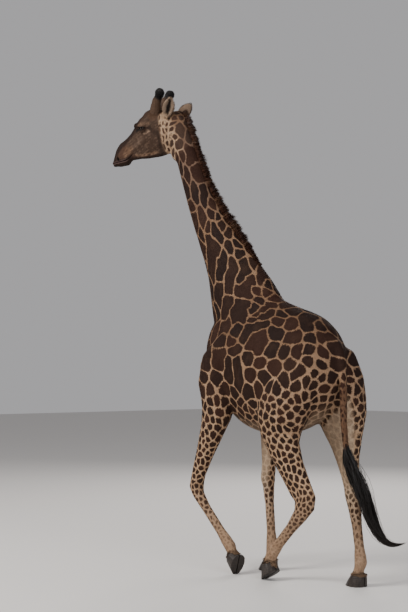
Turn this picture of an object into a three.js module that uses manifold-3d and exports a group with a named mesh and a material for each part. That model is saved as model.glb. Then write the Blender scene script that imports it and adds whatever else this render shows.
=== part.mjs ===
// A life-size adult giraffe bull in mid-stride, with its head turned a little to its left.
// Millimetres, +Z up. The animal faces -Y and its left side is at +X. The ground is Z = 0.
import * as THREE from "three";
import { mergeVertices } from "three/addons/utils/BufferGeometryUtils.js";
import Module from "manifold-3d";

const wasm = await Module();
wasm.setup();

// ---------------------------------------------------------------- driving sizes
const GAP = 0.3; // clear joint between touching pieces
const HOOF_HEIGHT = 100;
const CLEFT = 9;
const HEAD_AT = [2060, 200, 4470]; // [forward, left, up] of the nape end of the head's axis
const HEAD_YAW = 20; // to the animal's left
const HEAD_PITCH = 36; // nose below the horizontal
const HEAD_ROLL = 8; // crown to the animal's left
const EYE_RADIUS = 29;
const EAR_LENGTH = 215;
const MANE_HEIGHT = 52;

const rad = THREE.MathUtils.degToRad;
const lerp = THREE.MathUtils.lerp;

// [forward, left, up] of the animal as a point of the model's frame.
function place([forward, left, up]) {
  return new THREE.Vector3(left, -forward, up);
}

// ---------------------------------------------------------------- solids
function solidOf(geometry) {
  const bare = geometry.index ? geometry.toNonIndexed() : geometry.clone();
  for (const name of Object.keys(bare.attributes)) if (name !== "position") bare.deleteAttribute(name);
  const merged = mergeVertices(bare, 1e-3);
  return new wasm.Manifold(
    new wasm.Mesh({
      numProp: 3,
      vertProperties: merged.attributes.position.array,
      triVerts: new Uint32Array(merged.index.array),
    }),
  );
}

function geometryOf(solid) {
  const mesh = solid.getMesh();
  return new THREE.BufferGeometry()
    .setAttribute("position", new THREE.BufferAttribute(mesh.vertProperties, 3))
    .setIndex(new THREE.BufferAttribute(mesh.triVerts, 1));
}

function joined(solids) {
  return solids.reduce((a, b) => a.add(b));
}

// The value at s of a smooth curve through the rows' [s, ..., value in the given column, ...].
function smooth(rows, column, s) {
  const last = rows.length - 1;
  let i = 0;
  while (i < last - 1 && s > rows[i + 1][0]) i++;
  const [a, b] = [rows[i], rows[i + 1]];
  const slope = (p, q) => (q[column] - p[column]) / (q[0] - p[0]);
  const middle = slope(a, b);
  const before = i > 0 ? (slope(rows[i - 1], a) + middle) / 2 : middle;
  const after = i < last - 1 ? (middle + slope(b, rows[i + 2])) / 2 : middle;
  const length = b[0] - a[0];
  const t = THREE.MathUtils.clamp((s - a[0]) / length, 0, 1);
  const eased = t * t * (3 - 2 * t);
  const bulge = t * (1 - t) * length * ((1 - t) * before - t * after);
  return lerp(a[column], b[column], eased) + bulge;
}

// A closed body over rings that run the same way round, with a pole at each end.
function skinRings(rings, startPole, endPole) {
  const around = rings[0].length;
  const points = [...rings.flat(), startPole, endPole];
  const [start, end] = [points.length - 2, points.length - 1];
  const top = (rings.length - 1) * around;
  const faces = [];
  for (let j = 0; j < around; j++) {
    const k = (j + 1) % around;
    for (let i = 0; i < top; i += around) {
      faces.push(i + j, i + around + k, i + k, i + j, i + around + j, i + around + k);
    }
    faces.push(start, j, k, end, top + k, top + j);
  }
  return solidOf(new THREE.BufferGeometry().setFromPoints(points).setIndex(faces));
}

// A body lofted along a path. Each girth row is [s, front, back, half, ridge, keel]: the reach to the
// front (or crown) and to the back (or throat), half the width, and how square the front and the back
// halves are, where 2 is an ellipse, less a ridge and more a box. A dome closes each end.
function loft({ path, left, girths, steps = 2, around, domes, heading, extra = 0 }) {
  const [first, last] = [girths[0][0], girths[girths.length - 1][0]];
  const little = (last - first) / 400;
  function frame(s) {
    const run = path(Math.min(s + little, last)).sub(path(Math.max(s - little, first)));
    const along = (heading ?? run).clone().normalize();
    const side = left(s);
    const across = side.addScaledVector(along, -side.dot(along)).normalize();
    return { along, across, front: along.clone().cross(across), middle: path(s) };
  }
  function ring(s, slide, scale) {
    const { along, across, front, middle } = frame(s);
    middle.addScaledVector(along, slide);
    const [ahead, behind, half] = [1, 2, 3].map((column) => (smooth(girths, column, s) + extra) * scale);
    const [ridge, keel] = [smooth(girths, 4, s), smooth(girths, 5, s)];
    return Array.from({ length: around }, (_, j) => {
      const angle = (2 * Math.PI * j) / around;
      const [c, d] = [Math.cos(angle), Math.sin(angle)];
      const exponent = 2 / (c >= 0 ? ridge : keel);
      const reach = (c >= 0 ? ahead : -behind) * Math.abs(c) ** exponent;
      const width = half * Math.sign(d) * Math.abs(d) ** exponent;
      return middle.clone().addScaledVector(front, reach).addScaledVector(across, width);
    });
  }
  const rings = [];
  const turns = [30, 60];
  for (const turn of turns.toReversed()) {
    rings.push(ring(first, -domes[0] * Math.sin(rad(turn)), Math.cos(rad(turn))));
  }
  for (let i = 0; i < girths.length - 1; i++) {
    for (let k = 0; k < steps; k++) rings.push(ring(lerp(girths[i][0], girths[i + 1][0], k / steps), 0, 1));
  }
  rings.push(ring(last, 0, 1));
  for (const turn of turns) rings.push(ring(last, domes[1] * Math.sin(rad(turn)), Math.cos(rad(turn))));
  const pole = (s, reach) => path(s).addScaledVector(frame(s).along, reach);
  return skinRings(rings, pole(first, -domes[0] - extra), pole(last, domes[1] + extra));
}

// A path of straight bones between joints, one for each whole number, with its bends rounded off.
function bonePath(joints, corners) {
  const points = joints.map(place);
  return (s) => {
    const near = Math.round(s);
    const corner = corners[near];
    const bend = Math.abs(s - near) < corner;
    if (!bend) {
      const i = Math.min(Math.floor(s), points.length - 2);
      return points[i].clone().lerp(points[i + 1], s - i);
    }
    const t = (s - near + corner) / (2 * corner);
    const before = points[near].clone().lerp(points[near - 1], corner);
    const after = points[near].clone().lerp(points[near + 1], corner);
    const rising = before.lerp(points[near], t);
    return rising.lerp(points[near].clone().lerp(after, t), t);
  };
}

// A smooth path through places, one for each whole number.
function curvePath(places, frame = place) {
  const curve = new THREE.CatmullRomCurve3(places.map(frame), false, "centripetal");
  return (s) => curve.getPoint(THREE.MathUtils.clamp(s / (places.length - 1), 0, 1));
}

function ellipsoid(centre, radii, matrix, around = 8) {
  const geometry = new THREE.SphereGeometry(1, around, around / 2);
  geometry.scale(...radii).translate(...centre).applyMatrix4(matrix);
  return solidOf(geometry);
}

// A slab of the given side-view outline, as [forward, up] corners, between two places to the left.
function slab(outline, near, far) {
  const shape = new THREE.Shape(outline.map(([forward, up]) => new THREE.Vector2(forward, up)));
  const geometry = new THREE.ExtrudeGeometry(shape, { depth: far - near, bevelEnabled: false });
  geometry.translate(0, 0, -far);
  geometry.applyMatrix4(new THREE.Matrix4().set(0, 0, -1, 0, -1, 0, 0, 0, 0, 1, 0, 0, 0, 0, 0, 1));
  return solidOf(geometry);
}

const leftwards = () => new THREE.Vector3(1, 0, 0);

// ---------------------------------------------------------------- trunk
// [forward, top, bottom, half width, ridge, keel] from the rump to the chest.
const TRUNK_SECTIONS = [
  [130, 2190, 1720, 170, 1.9, 2.0],
  [205, 2300, 1590, 255, 1.9, 2.1],
  [350, 2412, 1455, 335, 1.8, 2.1],
  [560, 2484, 1352, 385, 1.75, 2.2],
  [760, 2560, 1308, 402, 1.6, 2.2],
  [950, 2650, 1312, 390, 1.5, 2.1],
  [1130, 2690, 1345, 358, 1.6, 2.0],
  [1300, 2650, 1415, 322, 1.8, 1.9],
  [1450, 2560, 1530, 290, 2.0, 1.8],
  [1580, 2440, 1670, 236, 2.0, 1.8],
];

function trunkSolid() {
  const middle = (forward) => {
    return (smooth(TRUNK_SECTIONS, 1, forward) + smooth(TRUNK_SECTIONS, 2, forward)) / 2;
  };
  return loft({
    path: (forward) => place([forward, 0, middle(forward)]),
    left: leftwards,
    heading: place([1, 0, 0]),
    girths: TRUNK_SECTIONS.map(([s, top, bottom, half, ridge, keel]) => {
      const reach = (top - bottom) / 2;
      return [s, reach, reach, half, ridge, keel];
    }),
    around: 20,
    domes: [45, 92],
  });
}

// ---------------------------------------------------------------- neck
const NECK_LINE = [
  [1150, 0, 2310],
  [1300, 0, 2610],
  [1478, 15, 2955],
  [1662, 45, 3286],
  [1836, 88, 3662],
  [1954, 135, 4022],
  [2034, 172, 4303],
  [2104, 206, 4513],
];
const NECK_GIRTHS = [
  [0, 440, 470, 275, 1.8, 1.9],
  [1, 385, 432, 220, 1.7, 1.9],
  [2, 280, 300, 168, 1.7, 2.0],
  [3, 204, 226, 136, 1.8, 2.0],
  [4, 156, 166, 112, 1.9, 2.0],
  [5, 134, 133, 98, 1.9, 2.0],
  [6, 118, 134, 92, 2.0, 2.0],
  [6.5, 110, 182, 90, 2.0, 2.0],
  [7, 100, 225, 86, 2.0, 2.0],
];
const neckPath = curvePath(NECK_LINE);

// The neck's own left swings round with it, from the trunk's left to the head's.
function neckLeft(s) {
  const turn = rad(HEAD_YAW) * (s / 7) ** 2;
  return place([-Math.sin(turn), Math.cos(turn), 0]);
}

function neckSolid(extra = 0) {
  return loft({ path: neckPath, left: neckLeft, girths: NECK_GIRTHS, around: 16, domes: [60, 40], extra });
}

// ---------------------------------------------------------------- head
// The head's frame: X from the nape to the nose, Y to its left, Z out of the forehead.
const headFrame = new THREE.Matrix4()
  .makeBasis(place([1, 0, 0]), place([0, 1, 0]), place([0, 0, 1]))
  .premultiply(new THREE.Matrix4().makeTranslation(place(HEAD_AT)));
headFrame.multiply(new THREE.Matrix4().makeRotationZ(rad(HEAD_YAW)));
headFrame.multiply(new THREE.Matrix4().makeRotationY(rad(HEAD_PITCH)));
headFrame.multiply(new THREE.Matrix4().makeRotationX(rad(-HEAD_ROLL)));

const inHead = ([x, y, z]) => new THREE.Vector3(x, y, z).applyMatrix4(headFrame);
const headDirection = (x, y, z) => new THREE.Vector3(x, y, z).transformDirection(headFrame);
const headLeft = () => headDirection(0, 1, 0);

// [x, height of the widest place, reach above it, reach below it, half width, ridge, keel]
const HEAD_SECTIONS = [
  [-35, -25, 96, 120, 76, 2.0, 2.0],
  [40, 30, 134, 235, 98, 2.0, 2.0],
  [130, 85, 150, 366, 110, 2.0, 2.0],
  [220, 125, 152, 368, 114, 2.1, 1.9],
  [310, 148, 138, 344, 110, 2.2, 1.85],
  [400, 142, 120, 294, 92, 2.0, 1.8],
  [490, 130, 106, 232, 74, 1.9, 1.9],
  [575, 120, 112, 158, 62, 1.9, 2.0],
  [650, 112, 128, 102, 58, 2.0, 2.0],
  [720, 106, 114, 86, 63, 2.1, 2.1],
  [785, 102, 72, 64, 64, 2.2, 2.2],
  [832, 102, 42, 36, 48, 2.1, 2.1],
];

function mirrored(make) {
  return [make(1), make(-1)];
}

function skullSolid(extra = 0) {
  return loft({
    path: (x) => inHead([x, 0, smooth(HEAD_SECTIONS, 1, x)]),
    left: headLeft,
    heading: headDirection(1, 0, 0),
    girths: HEAD_SECTIONS.map(([s, , up, down, half, ridge, keel]) => [s, up, down, half, ridge, keel]),
    steps: 1,
    around: 16,
    domes: [45, 22],
    extra,
  });
}

function headSolid() {
  const bump = (x, y, z, ...radii) => ellipsoid([x, y, z], radii, headFrame);
  return joined([
    skullSolid(),
    bump(225, 0, 238, 98, 60, 66), // the bony lump of the forehead
    bump(712, 0, 46, 60, 46, 36), // chin
    bump(224, 0, -284, 72, 56, 122), // throat
    ...mirrored((side) => bump(322, side * 80, 168, 88, 48, 56)), // eye socket
    ...mirrored((side) => bump(366, side * 70, 222, 36, 26, 30)), // brow
    ...mirrored((side) => bump(752, side * 34, 136, 54, 32, 32)), // nostril
  ]);
}

// An eye stands in its socket with about a third of the ball out of the skull.
const EYE_PLACE = [330, 106, 152];

function eyeSolid(side, extra = 0) {
  const [x, y, z] = EYE_PLACE;
  const radius = EYE_RADIUS + extra;
  return ellipsoid([x, side * y, z], [radius, radius, radius], headFrame, 10);
}

// A horn core under its skin, with a knob at the tip.
const HORN_LINE = [
  [150, 62, 186],
  [88, 76, 232],
  [28, 94, 268],
  [-36, 120, 284],
  [-84, 144, 302],
];
const HORN_GIRTHS = [
  [0, 66, 60, 54, 2, 2],
  [1, 60, 54, 50, 2, 2],
  [2, 50, 48, 45, 2, 2],
  [2.7, 44, 44, 42, 2, 2],
  [3.2, 46, 47, 46, 2, 2],
  [3.8, 36, 38, 37, 2, 2],
];

const RIGHT_HORN_EXTRA = 3.5; // the right horn stands a little higher at each place along it

function hornSolid(side, extra = 0) {
  const taller = side < 0 ? RIGHT_HORN_EXTRA : 0;
  const path = curvePath(HORN_LINE.map(([x, y, z], i) => [x, side * y, z + taller * i]), inHead);
  return loft({ path, left: headLeft, girths: HORN_GIRTHS, steps: 1, around: 9, domes: [20, 26], extra });
}

// A leaf-shaped, cupped ear. Its frame: Z from root to tip, X out of the cup, Y across. The left ear
// is turned to listen back, the right one hangs out to the side.
const EAR_GIRTHS = [
  [0, 24, 26, 32, 2, 2],
  [0.16, 26, 30, 44, 2, 2],
  [0.34, 26, 36, 58, 2, 2],
  [0.55, 20, 34, 62, 2, 2],
  [0.78, 13, 24, 46, 2, 2],
  [0.94, 7, 11, 20, 2, 2],
];
const EAR_POSES = {
  1: { root: [60, 95, 64], tip: [-124, 150, 164], opening: [-0.15, 0.95, -0.12] },
  [-1]: { root: [16, -95, 34], tip: [-186, -220, 116], opening: [0.25, -0.95, 0.2] },
};

function earSolid(side, hollow, extra = 0) {
  const pose = EAR_POSES[side];
  const root = inHead(pose.root);
  const along = inHead(pose.tip).sub(root).normalize();
  const opening = headDirection(...pose.opening);
  const across = along.clone().cross(opening).normalize();
  const front = across.clone().cross(along);
  const shift = hollow ? 15 : 0;
  const thin = hollow ? -5 : extra;
  const girths = hollow ? EAR_GIRTHS.slice(1) : EAR_GIRTHS;
  return loft({
    path: (s) => root.clone().addScaledVector(along, s * EAR_LENGTH).addScaledVector(front, shift),
    left: () => across.clone().negate(),
    girths,
    steps: 1,
    around: 7,
    domes: [8, 8],
    extra: thin,
  });
}

// ---------------------------------------------------------------- legs
// Joints as [forward, left, up]: hip, stifle, hock, fetlock, toe; or shoulder blade, shoulder, elbow,
// knee, fetlock, toe.
const LEG_JOINTS = {
  hind_left: [
    [330, 190, 2030],
    [700, 245, 1370],
    [272, 182, 742],
    [768, 178, 245],
    [790, 180, 120],
  ],
  hind_right: [
    [300, -198, 2040],
    [330, -262, 1400],
    [112, -197, 825],
    [22, -190, 205],
    [66, -190, 70],
  ],
  fore_left: [
    [1000, 145, 2400],
    [1515, 248, 1930],
    [1425, 235, 1540],
    [1806, 205, 762],
    [1290, 200, 245],
    [1234, 198, 150],
  ],
  fore_right: [
    [980, -145, 2400],
    [1450, -245, 1900],
    [1165, -230, 1650],
    [1172, -195, 875],
    [1120, -190, 205],
    [1160, -190, 70],
  ],
};
const HIND_GIRTHS = [
  [0, 200, 215, 125, 2.0, 2.0],
  [0.3, 255, 272, 190, 2.1, 2.1],
  [0.6, 250, 290, 208, 2.1, 2.1],
  [0.85, 225, 292, 186, 2.0, 2.1],
  [1.05, 178, 262, 150, 2.0, 2.0],
  [1.3, 132, 196, 112, 2.0, 2.0],
  [1.55, 108, 132, 84, 2.0, 1.9],
  [1.78, 86, 98, 64, 2.0, 1.8],
  [1.94, 80, 106, 58, 2.0, 1.8],
  [2.08, 80, 92, 58, 2.1, 1.9],
  [2.25, 62, 64, 50, 2.1, 2.0],
  [2.5, 46, 51, 39, 2.0, 2.0],
  [2.78, 43, 50, 38, 2.0, 2.0],
  [2.94, 53, 62, 48, 2.0, 2.0],
  [3.12, 50, 56, 48, 2.0, 2.0],
  [3.4, 47, 48, 47, 2.0, 2.0],
  [3.8, 52, 52, 54, 2.0, 2.0],
];
const FORE_GIRTHS = [
  [0, 90, 110, 70, 2.0, 2.0],
  [0.45, 165, 190, 126, 2.0, 2.0],
  [0.9, 150, 215, 145, 2.0, 2.0],
  [1.3, 142, 230, 145, 2.0, 2.0],
  [1.7, 150, 200, 135, 2.0, 2.0],
  [2.02, 150, 205, 118, 2.0, 2.0],
  [2.25, 122, 150, 96, 2.0, 2.0],
  [2.55, 90, 98, 75, 2.0, 2.0],
  [2.8, 68, 74, 62, 2.1, 2.0],
  [2.97, 74, 62, 66, 2.2, 2.0],
  [3.12, 62, 54, 57, 2.1, 2.0],
  [3.35, 45, 47, 40, 2.0, 2.0],
  [3.75, 43, 50, 38, 2.0, 2.0],
  [3.93, 53, 62, 48, 2.0, 2.0],
  [4.12, 50, 56, 48, 2.0, 2.0],
  [4.4, 47, 48, 47, 2.0, 2.0],
  [4.8, 52, 52, 54, 2.0, 2.0],
];

// How much of the bones is taken up by the bend at each joint.
const HIND_CORNERS = [0, 0.4, 0.22, 0.24, 0];
const FORE_CORNERS = [0, 0.24, 0.24, 0.22, 0.24, 0];

// Flesh that a leg's pose gathers or draws in, as [place, spread, in front, behind].
const GATHERED = {
  hind_left: [1.84, 0.34, 78, 0],
  hind_right: [1.4, 0.3, -26, 20],
  fore_left: [2.75, 0.4, -10, 16],
  fore_right: [2.7, 0.4, 0, 0],
};

function legSolid(name) {
  const hind = name.startsWith("hind");
  const [place, spread, ahead, behind] = GATHERED[name];
  const girths = (hind ? HIND_GIRTHS : FORE_GIRTHS).map(([s, front, back, ...rest]) => {
    const share = Math.exp(-(((s - place) / spread) ** 2));
    return [s, front + ahead * share, back + behind * share, ...rest];
  });
  const path = bonePath(LEG_JOINTS[name], hind ? HIND_CORNERS : FORE_CORNERS);
  return loft({ path, left: leftwards, girths, steps: 1, around: 12, domes: [90, 12] });
}

// Hooves, each [forward, left, height of the sole's middle, how far the toe dips].
const HOOF_POSES = {
  hind_left: [768, 180, 52, 32],
  hind_right: [68, -190, 0, 0],
  fore_left: [1182, 198, 101, 74],
  fore_right: [1164, -190, 0, 0],
};
const HOOF_GIRTHS = [
  [0, 118, 84, 88, 1.9, 2.4],
  [0.5, 98, 78, 80, 1.9, 2.3],
  [1, 74, 68, 68, 1.9, 2.2],
];

function hoofSolid(name, extra = 0) {
  const [forward, toLeft, up, dip] = HOOF_POSES[name];
  const turn = new THREE.Matrix4().makeRotationX(rad(dip));
  const heading = new THREE.Vector3(0, 0, 1).applyMatrix4(turn);
  const sole = place([forward, toLeft, up]);
  const path = (s) => new THREE.Vector3(0, 24 * s, HOOF_HEIGHT * s).applyMatrix4(turn).add(sole);
  const left = () => new THREE.Vector3(-1, 0, 0);
  return loft({ path, left, heading, girths: HOOF_GIRTHS, steps: 1, around: 12, domes: [0, 14], extra });
}

// ---------------------------------------------------------------- tail and mane
const DOCK_LINE = [
  [230, 0, 2150],
  [130, 0, 2130],
  [66, 0, 1985],
  [46, 0, 1720],
  [50, -8, 1440],
  [36, -32, 1150],
];
const DOCK_GIRTHS = [
  [0, 62, 64, 62, 2, 2],
  [1, 58, 58, 58, 2, 2],
  [2, 40, 46, 50, 2, 2],
  [3, 34, 36, 38, 2, 2],
  [4, 29, 30, 31, 2, 2],
  [5, 24, 24, 25, 2, 2],
];
const TASSEL_LINE = [
  [37, -27, 1215],
  [10, -58, 1050],
  [-50, -98, 890],
  [-112, -145, 680],
  [-150, -188, 500],
  [-225, -232, 395],
  [-330, -262, 388],
];
const TASSEL_GIRTHS = [
  [0, 32, 32, 32, 2, 2],
  [1, 54, 50, 56, 2, 2],
  [2, 68, 62, 68, 2, 2],
  [3, 66, 60, 64, 2, 2],
  [4, 52, 48, 50, 2, 2],
  [5, 34, 30, 32, 2, 2],
  [6, 9, 9, 10, 2, 2],
];

function dockSolid(extra = 0) {
  const path = curvePath(DOCK_LINE);
  return loft({ path, left: leftwards, girths: DOCK_GIRTHS, steps: 2, around: 8, domes: [20, 12], extra });
}

function tasselSolid() {
  const path = curvePath(TASSEL_LINE);
  return loft({ path, left: leftwards, girths: TASSEL_GIRTHS, steps: 1, around: 8, domes: [14, 12] });
}

// A crest of short, stiff tufts, rooted in the neck from the withers to the crown.
const MANE_FROM = 1.5;
const MANE_TO = 6.85;
const MANE_TUFTS = 13;

function maneSolid() {
  const dorsal = (s) => {
    const along = neckPath(s + 0.01).sub(neckPath(s - 0.01)).normalize();
    const side = neckLeft(s);
    const across = side.addScaledVector(along, -side.dot(along)).normalize();
    return neckPath(s).addScaledVector(along.cross(across), smooth(NECK_GIRTHS, 1, s) - 6);
  };
  const girths = [];
  for (let i = 0; i <= 2 * MANE_TUFTS; i++) {
    const part = i / (2 * MANE_TUFTS);
    const fade = Math.min(1, 0.6 + 5 * (1 - part));
    const foot = 1 + 0.45 * Math.exp(-(((part - 0.04) / 0.06) ** 2)); // it stands highest at the withers end
    const tuft = i % 2 ? 1 : 0.78;
    const height = (MANE_HEIGHT + 6) * fade * foot * tuft;
    girths.push([lerp(MANE_FROM, MANE_TO, part), height, 34, 17, 1.6, 2]);
  }
  return loft({ path: dorsal, left: neckLeft, girths, steps: 1, around: 6, domes: [24, 24] });
}

// ---------------------------------------------------------------- parting the animal
// Each outline is a cut in the side view, as [forward, up] corners, and each piece takes what lies
// inside its outline between two distances to the left.
const CUTS = {
  head: [[[1850, 4578], [2300, 3972], [3600, 3972], [3600, 5200], [1850, 5200]], -900, 1400],
  neck: [[[300, 3126], [1900, 1930], [3600, 1930], [3600, 5200], [300, 5200]], -900, 1400],
  tail: [[[-900, 2260], [-900, 200], [92, 1000], [92, 1960], [104, 2110], [158, 2260]], -66, 66],
};
const FORE_CUT = [
  [958, -50],
  [2400, -50],
  [2400, 1780],
  [1700, 1990],
  [1560, 2100],
  [1300, 2280],
  [1080, 2400],
  [960, 2320],
  [975, 2000],
  [1010, 1650],
  [958, 1430],
];
const HIND_CUT = [
  [-500, -50],
  [950, -50],
  [950, 1150],
  [905, 1330],
  [850, 1500],
  [760, 1720],
  [600, 1960],
  [400, 2130],
  [240, 2170],
  [60, 2090],
  [-500, 2060],
];
const MIDLINE = 70; // how far from the midline the legs are cut
const FAR = 800;
for (const name of Object.keys(LEG_JOINTS)) {
  const outline = name.startsWith("fore") ? FORE_CUT : HIND_CUT;
  CUTS[name] = name.endsWith("left") ? [outline, MIDLINE, FAR] : [outline, -FAR, -MIDLINE];
}

// The outline moved out by a distance, corner by corner.
function offsetOutline(outline, distance) {
  const corners = outline.map(([x, y]) => new THREE.Vector2(x, y));
  return corners.map((corner, i) => {
    const before = corners.at(i - 1);
    const after = corners[(i + 1) % corners.length];
    const into = corner.clone().sub(before).normalize();
    const out = after.clone().sub(corner).normalize();
    const normal = new THREE.Vector2(into.y + out.y, -into.x - out.x).normalize();
    const miter = distance / normal.dot(new THREE.Vector2(out.y, -out.x));
    return corner.clone().addScaledVector(normal, miter).toArray();
  });
}

// The pieces of the flesh by name, and the trunk that is left.
function parted(flesh) {
  const pieces = {};
  let rest = flesh;
  for (const [name, [outline, near, far]] of Object.entries(CUTS)) {
    pieces[name] = rest.intersect(slab(outline, near, far));
    rest = rest.subtract(slab(offsetOutline(outline, GAP), near - GAP, far + GAP));
  }
  return { ...pieces, trunk: rest };
}

const legNames = Object.keys(LEG_JOINTS);
const SIDES = { left: 1, right: -1 };
const flesh = joined([trunkSolid(), neckSolid(), headSolid(), dockSolid(), ...legNames.map(legSolid)]);
const pieces = parted(flesh);

// Everything rooted in the head or set into it.
const solids = [];
for (const [side, sign] of Object.entries(SIDES)) {
  pieces.head = pieces.head
    .subtract(hornSolid(sign, GAP))
    .subtract(earSolid(sign, false, GAP))
    .subtract(eyeSolid(sign, GAP));
  solids.push(["eye_" + side, eyeSolid(sign), "eye"]);
  solids.push(["ossicone_" + side, hornSolid(sign), "horn"]);
  solids.push(["ear_" + side, earSolid(sign, false).subtract(earSolid(sign, true)), "coat"]);
}

// Feet stand on the ground, and each hoof is split in two by its cleft.
const ground = solidOf(new THREE.BoxGeometry(6000, 6000, 400).translate(0, 0, -200));
for (const name of legNames) {
  const [forward, left] = HOOF_POSES[name];
  const hoof = hoofSolid(name).subtract(ground);
  pieces[name] = pieces[name].subtract(hoofSolid(name, GAP)).subtract(ground);
  for (const [claw, away] of [["outer", 1], ["inner", -1]]) {
    const reach = CLEFT / 2 - 450; // the half of the hoof on the other side of the cleft is taken off
    const middle = left + Math.sign(left) * away * reach;
    const other = new THREE.BoxGeometry(900, 900, 900).translate(middle, -forward, 0);
    solids.push([`hoof_${name}_${claw}`, hoof.subtract(solidOf(other)), "hoof"]);
  }
}
for (const [name, piece] of Object.entries(pieces)) {
  solids.push([legNames.includes(name) ? `leg_${name}` : name, piece, "coat"]);
}
solids.push(["tail_tuft", tasselSolid().subtract(dockSolid(GAP)), "tassel"]);
solids.push(["mane", maneSolid().subtract(neckSolid(GAP)).subtract(skullSolid(GAP)), "mane"]);

const MATERIALS = {
  coat: { color: "#5a3a22", roughness: 0.85, metalness: 0 },
  mane: { color: "#4a2a18", roughness: 0.8, metalness: 0 },
  tassel: { color: "#15110f", roughness: 0.7, metalness: 0 },
  horn: { color: "#2b2018", roughness: 0.5, metalness: 0 },
  hoof: { color: "#2a241f", roughness: 0.55, metalness: 0 },
  eye: { color: "#0d0806", roughness: 0.1, metalness: 0 },
};

// The origin is on the ground, below the middle of the animal's length and width.
const bounds = new THREE.Box3();
for (const [, solid] of solids) {
  const { min, max } = solid.boundingBox();
  bounds.expandByPoint(new THREE.Vector3(...min)).expandByPoint(new THREE.Vector3(...max));
}
const origin = bounds.getCenter(new THREE.Vector3()).setZ(bounds.min.z);
const group = new THREE.Group();
for (const [name, solid, material] of solids) {
  const geometry = geometryOf(solid).translate(-origin.x, -origin.y, -origin.z);
  const mesh = new THREE.Mesh(geometry, new THREE.MeshStandardMaterial(MATERIALS[material]));
  mesh.name = name;
  group.add(mesh);
}
export default group;
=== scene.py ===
"""A life-size giraffe bull in a slow walk, as a museum would show it.

The animal faces -Y, its left side is at +X, and the floor is Z = 0. Lengths are in metres.
"""

import math
from types import SimpleNamespace

import bmesh
import bpy
import numpy as np
from mathutils import Euler, Matrix, Vector
from mathutils.bvhtree import BVHTree
from mathutils.kdtree import KDTree


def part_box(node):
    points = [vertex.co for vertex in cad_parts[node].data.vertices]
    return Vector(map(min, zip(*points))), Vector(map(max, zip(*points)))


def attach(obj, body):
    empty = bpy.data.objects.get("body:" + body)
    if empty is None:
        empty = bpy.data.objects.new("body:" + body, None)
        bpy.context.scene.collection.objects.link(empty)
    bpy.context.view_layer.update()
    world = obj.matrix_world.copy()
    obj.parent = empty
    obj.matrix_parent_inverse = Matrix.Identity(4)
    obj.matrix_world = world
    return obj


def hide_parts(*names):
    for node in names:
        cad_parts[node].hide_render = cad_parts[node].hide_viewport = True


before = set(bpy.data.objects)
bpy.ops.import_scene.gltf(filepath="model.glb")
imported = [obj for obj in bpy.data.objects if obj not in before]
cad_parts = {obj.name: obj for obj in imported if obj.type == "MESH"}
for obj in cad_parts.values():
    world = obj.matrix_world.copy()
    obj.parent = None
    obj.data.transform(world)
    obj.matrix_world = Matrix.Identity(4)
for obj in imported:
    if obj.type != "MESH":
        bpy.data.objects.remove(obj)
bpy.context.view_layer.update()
bpy.ops.object.select_all(action="DESELECT")
SEED = 27

# ---------------------------------------------------------------- the animal's measures
FORWARD_0, LEFT_0 = 1.21788, 0.03671  # where the model's origin lies on the animal
HEAD_AT, HEAD_YAW, HEAD_PITCH, HEAD_ROLL = (2.060, 0.200, 4.470), 20, 36, 8
EYE_AT, EYE_RADIUS = (0.330, 0.106, 0.152), 0.029
EAR_LENGTH = 0.215
# Each ear in the head's own frame: its root, its tip and the way that it opens.
EAR_POSES = {
    "left": ((0.060, 0.095, 0.064), (-0.124, 0.150, 0.164), (-0.15, 0.95, -0.12)),
    "right": ((0.016, -0.095, 0.034), (-0.186, -0.220, 0.116), (0.25, -0.95, 0.20)),
}


def place(forward, left, up):
    """A point of the animal, as forward, left and up, in the model's frame."""
    return np.array([left - LEFT_0, FORWARD_0 - forward, up])


HEAD = (
    Matrix.Translation(Vector(place(*HEAD_AT)))
    @ Matrix(((0, 1, 0), (-1, 0, 0), (0, 0, 1))).to_4x4()
    @ Euler((0, 0, math.radians(HEAD_YAW))).to_matrix().to_4x4()
    @ Euler((0, math.radians(HEAD_PITCH), 0)).to_matrix().to_4x4()
    @ Euler((math.radians(-HEAD_ROLL), 0, 0)).to_matrix().to_4x4()
)
HEAD_TURN = np.array(HEAD.to_3x3())
HEAD_ORIGIN = np.array(HEAD.translation)


def in_head(points):
    """Points as forward along the face, left and out of the forehead, from the nape."""
    return (np.asarray(points) - HEAD_ORIGIN) @ HEAD_TURN


def from_head(points):
    return np.asarray(points) @ HEAD_TURN.T + HEAD_ORIGIN


# ---------------------------------------------------------------- working with meshes
def object_of(name, mesh):
    piece = bpy.data.objects.new(name, mesh)
    bpy.context.collection.objects.link(piece)
    return piece


def cast_of(name, *nodes):
    """One object holding copies of CAD nodes, with their loose triangles merged."""
    cast = bmesh.new()
    for node in nodes:
        cast.from_mesh(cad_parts[node].data)
    bmesh.ops.remove_doubles(cast, verts=cast.verts, dist=1e-5)
    mesh = bpy.data.meshes.new(name)
    cast.to_mesh(mesh)
    cast.free()
    return object_of(name, mesh)


def finish_with(piece, kind, **settings):
    """Adds a modifier and applies it."""
    modifier = piece.modifiers.new(kind.title(), kind)
    for key, value in settings.items():
        setattr(modifier, key, value)
    with bpy.context.temp_override(object=piece, active_object=piece, selected_objects=[piece]):
        bpy.ops.object.modifier_apply(modifier=modifier.name)


def points_of(mesh, what="co"):
    """Where a mesh's vertices are, or with "normal" the way that each faces."""
    values = np.empty(len(mesh.vertices) * 3, np.float32)
    mesh.vertices.foreach_get(what, values)
    return values.reshape(-1, 3).astype(float)


def triangles_of(mesh):
    mesh.calc_loop_triangles()
    corners = np.empty(len(mesh.loop_triangles) * 3, np.int32)
    mesh.loop_triangles.foreach_get("vertices", corners)
    return corners.reshape(-1, 3)


def tree_of(mesh):
    """A mesh's triangles, ready to be asked which is nearest or which one a line meets."""
    return BVHTree.FromPolygons(points_of(mesh).tolist(), triangles_of(mesh).tolist())


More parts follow.
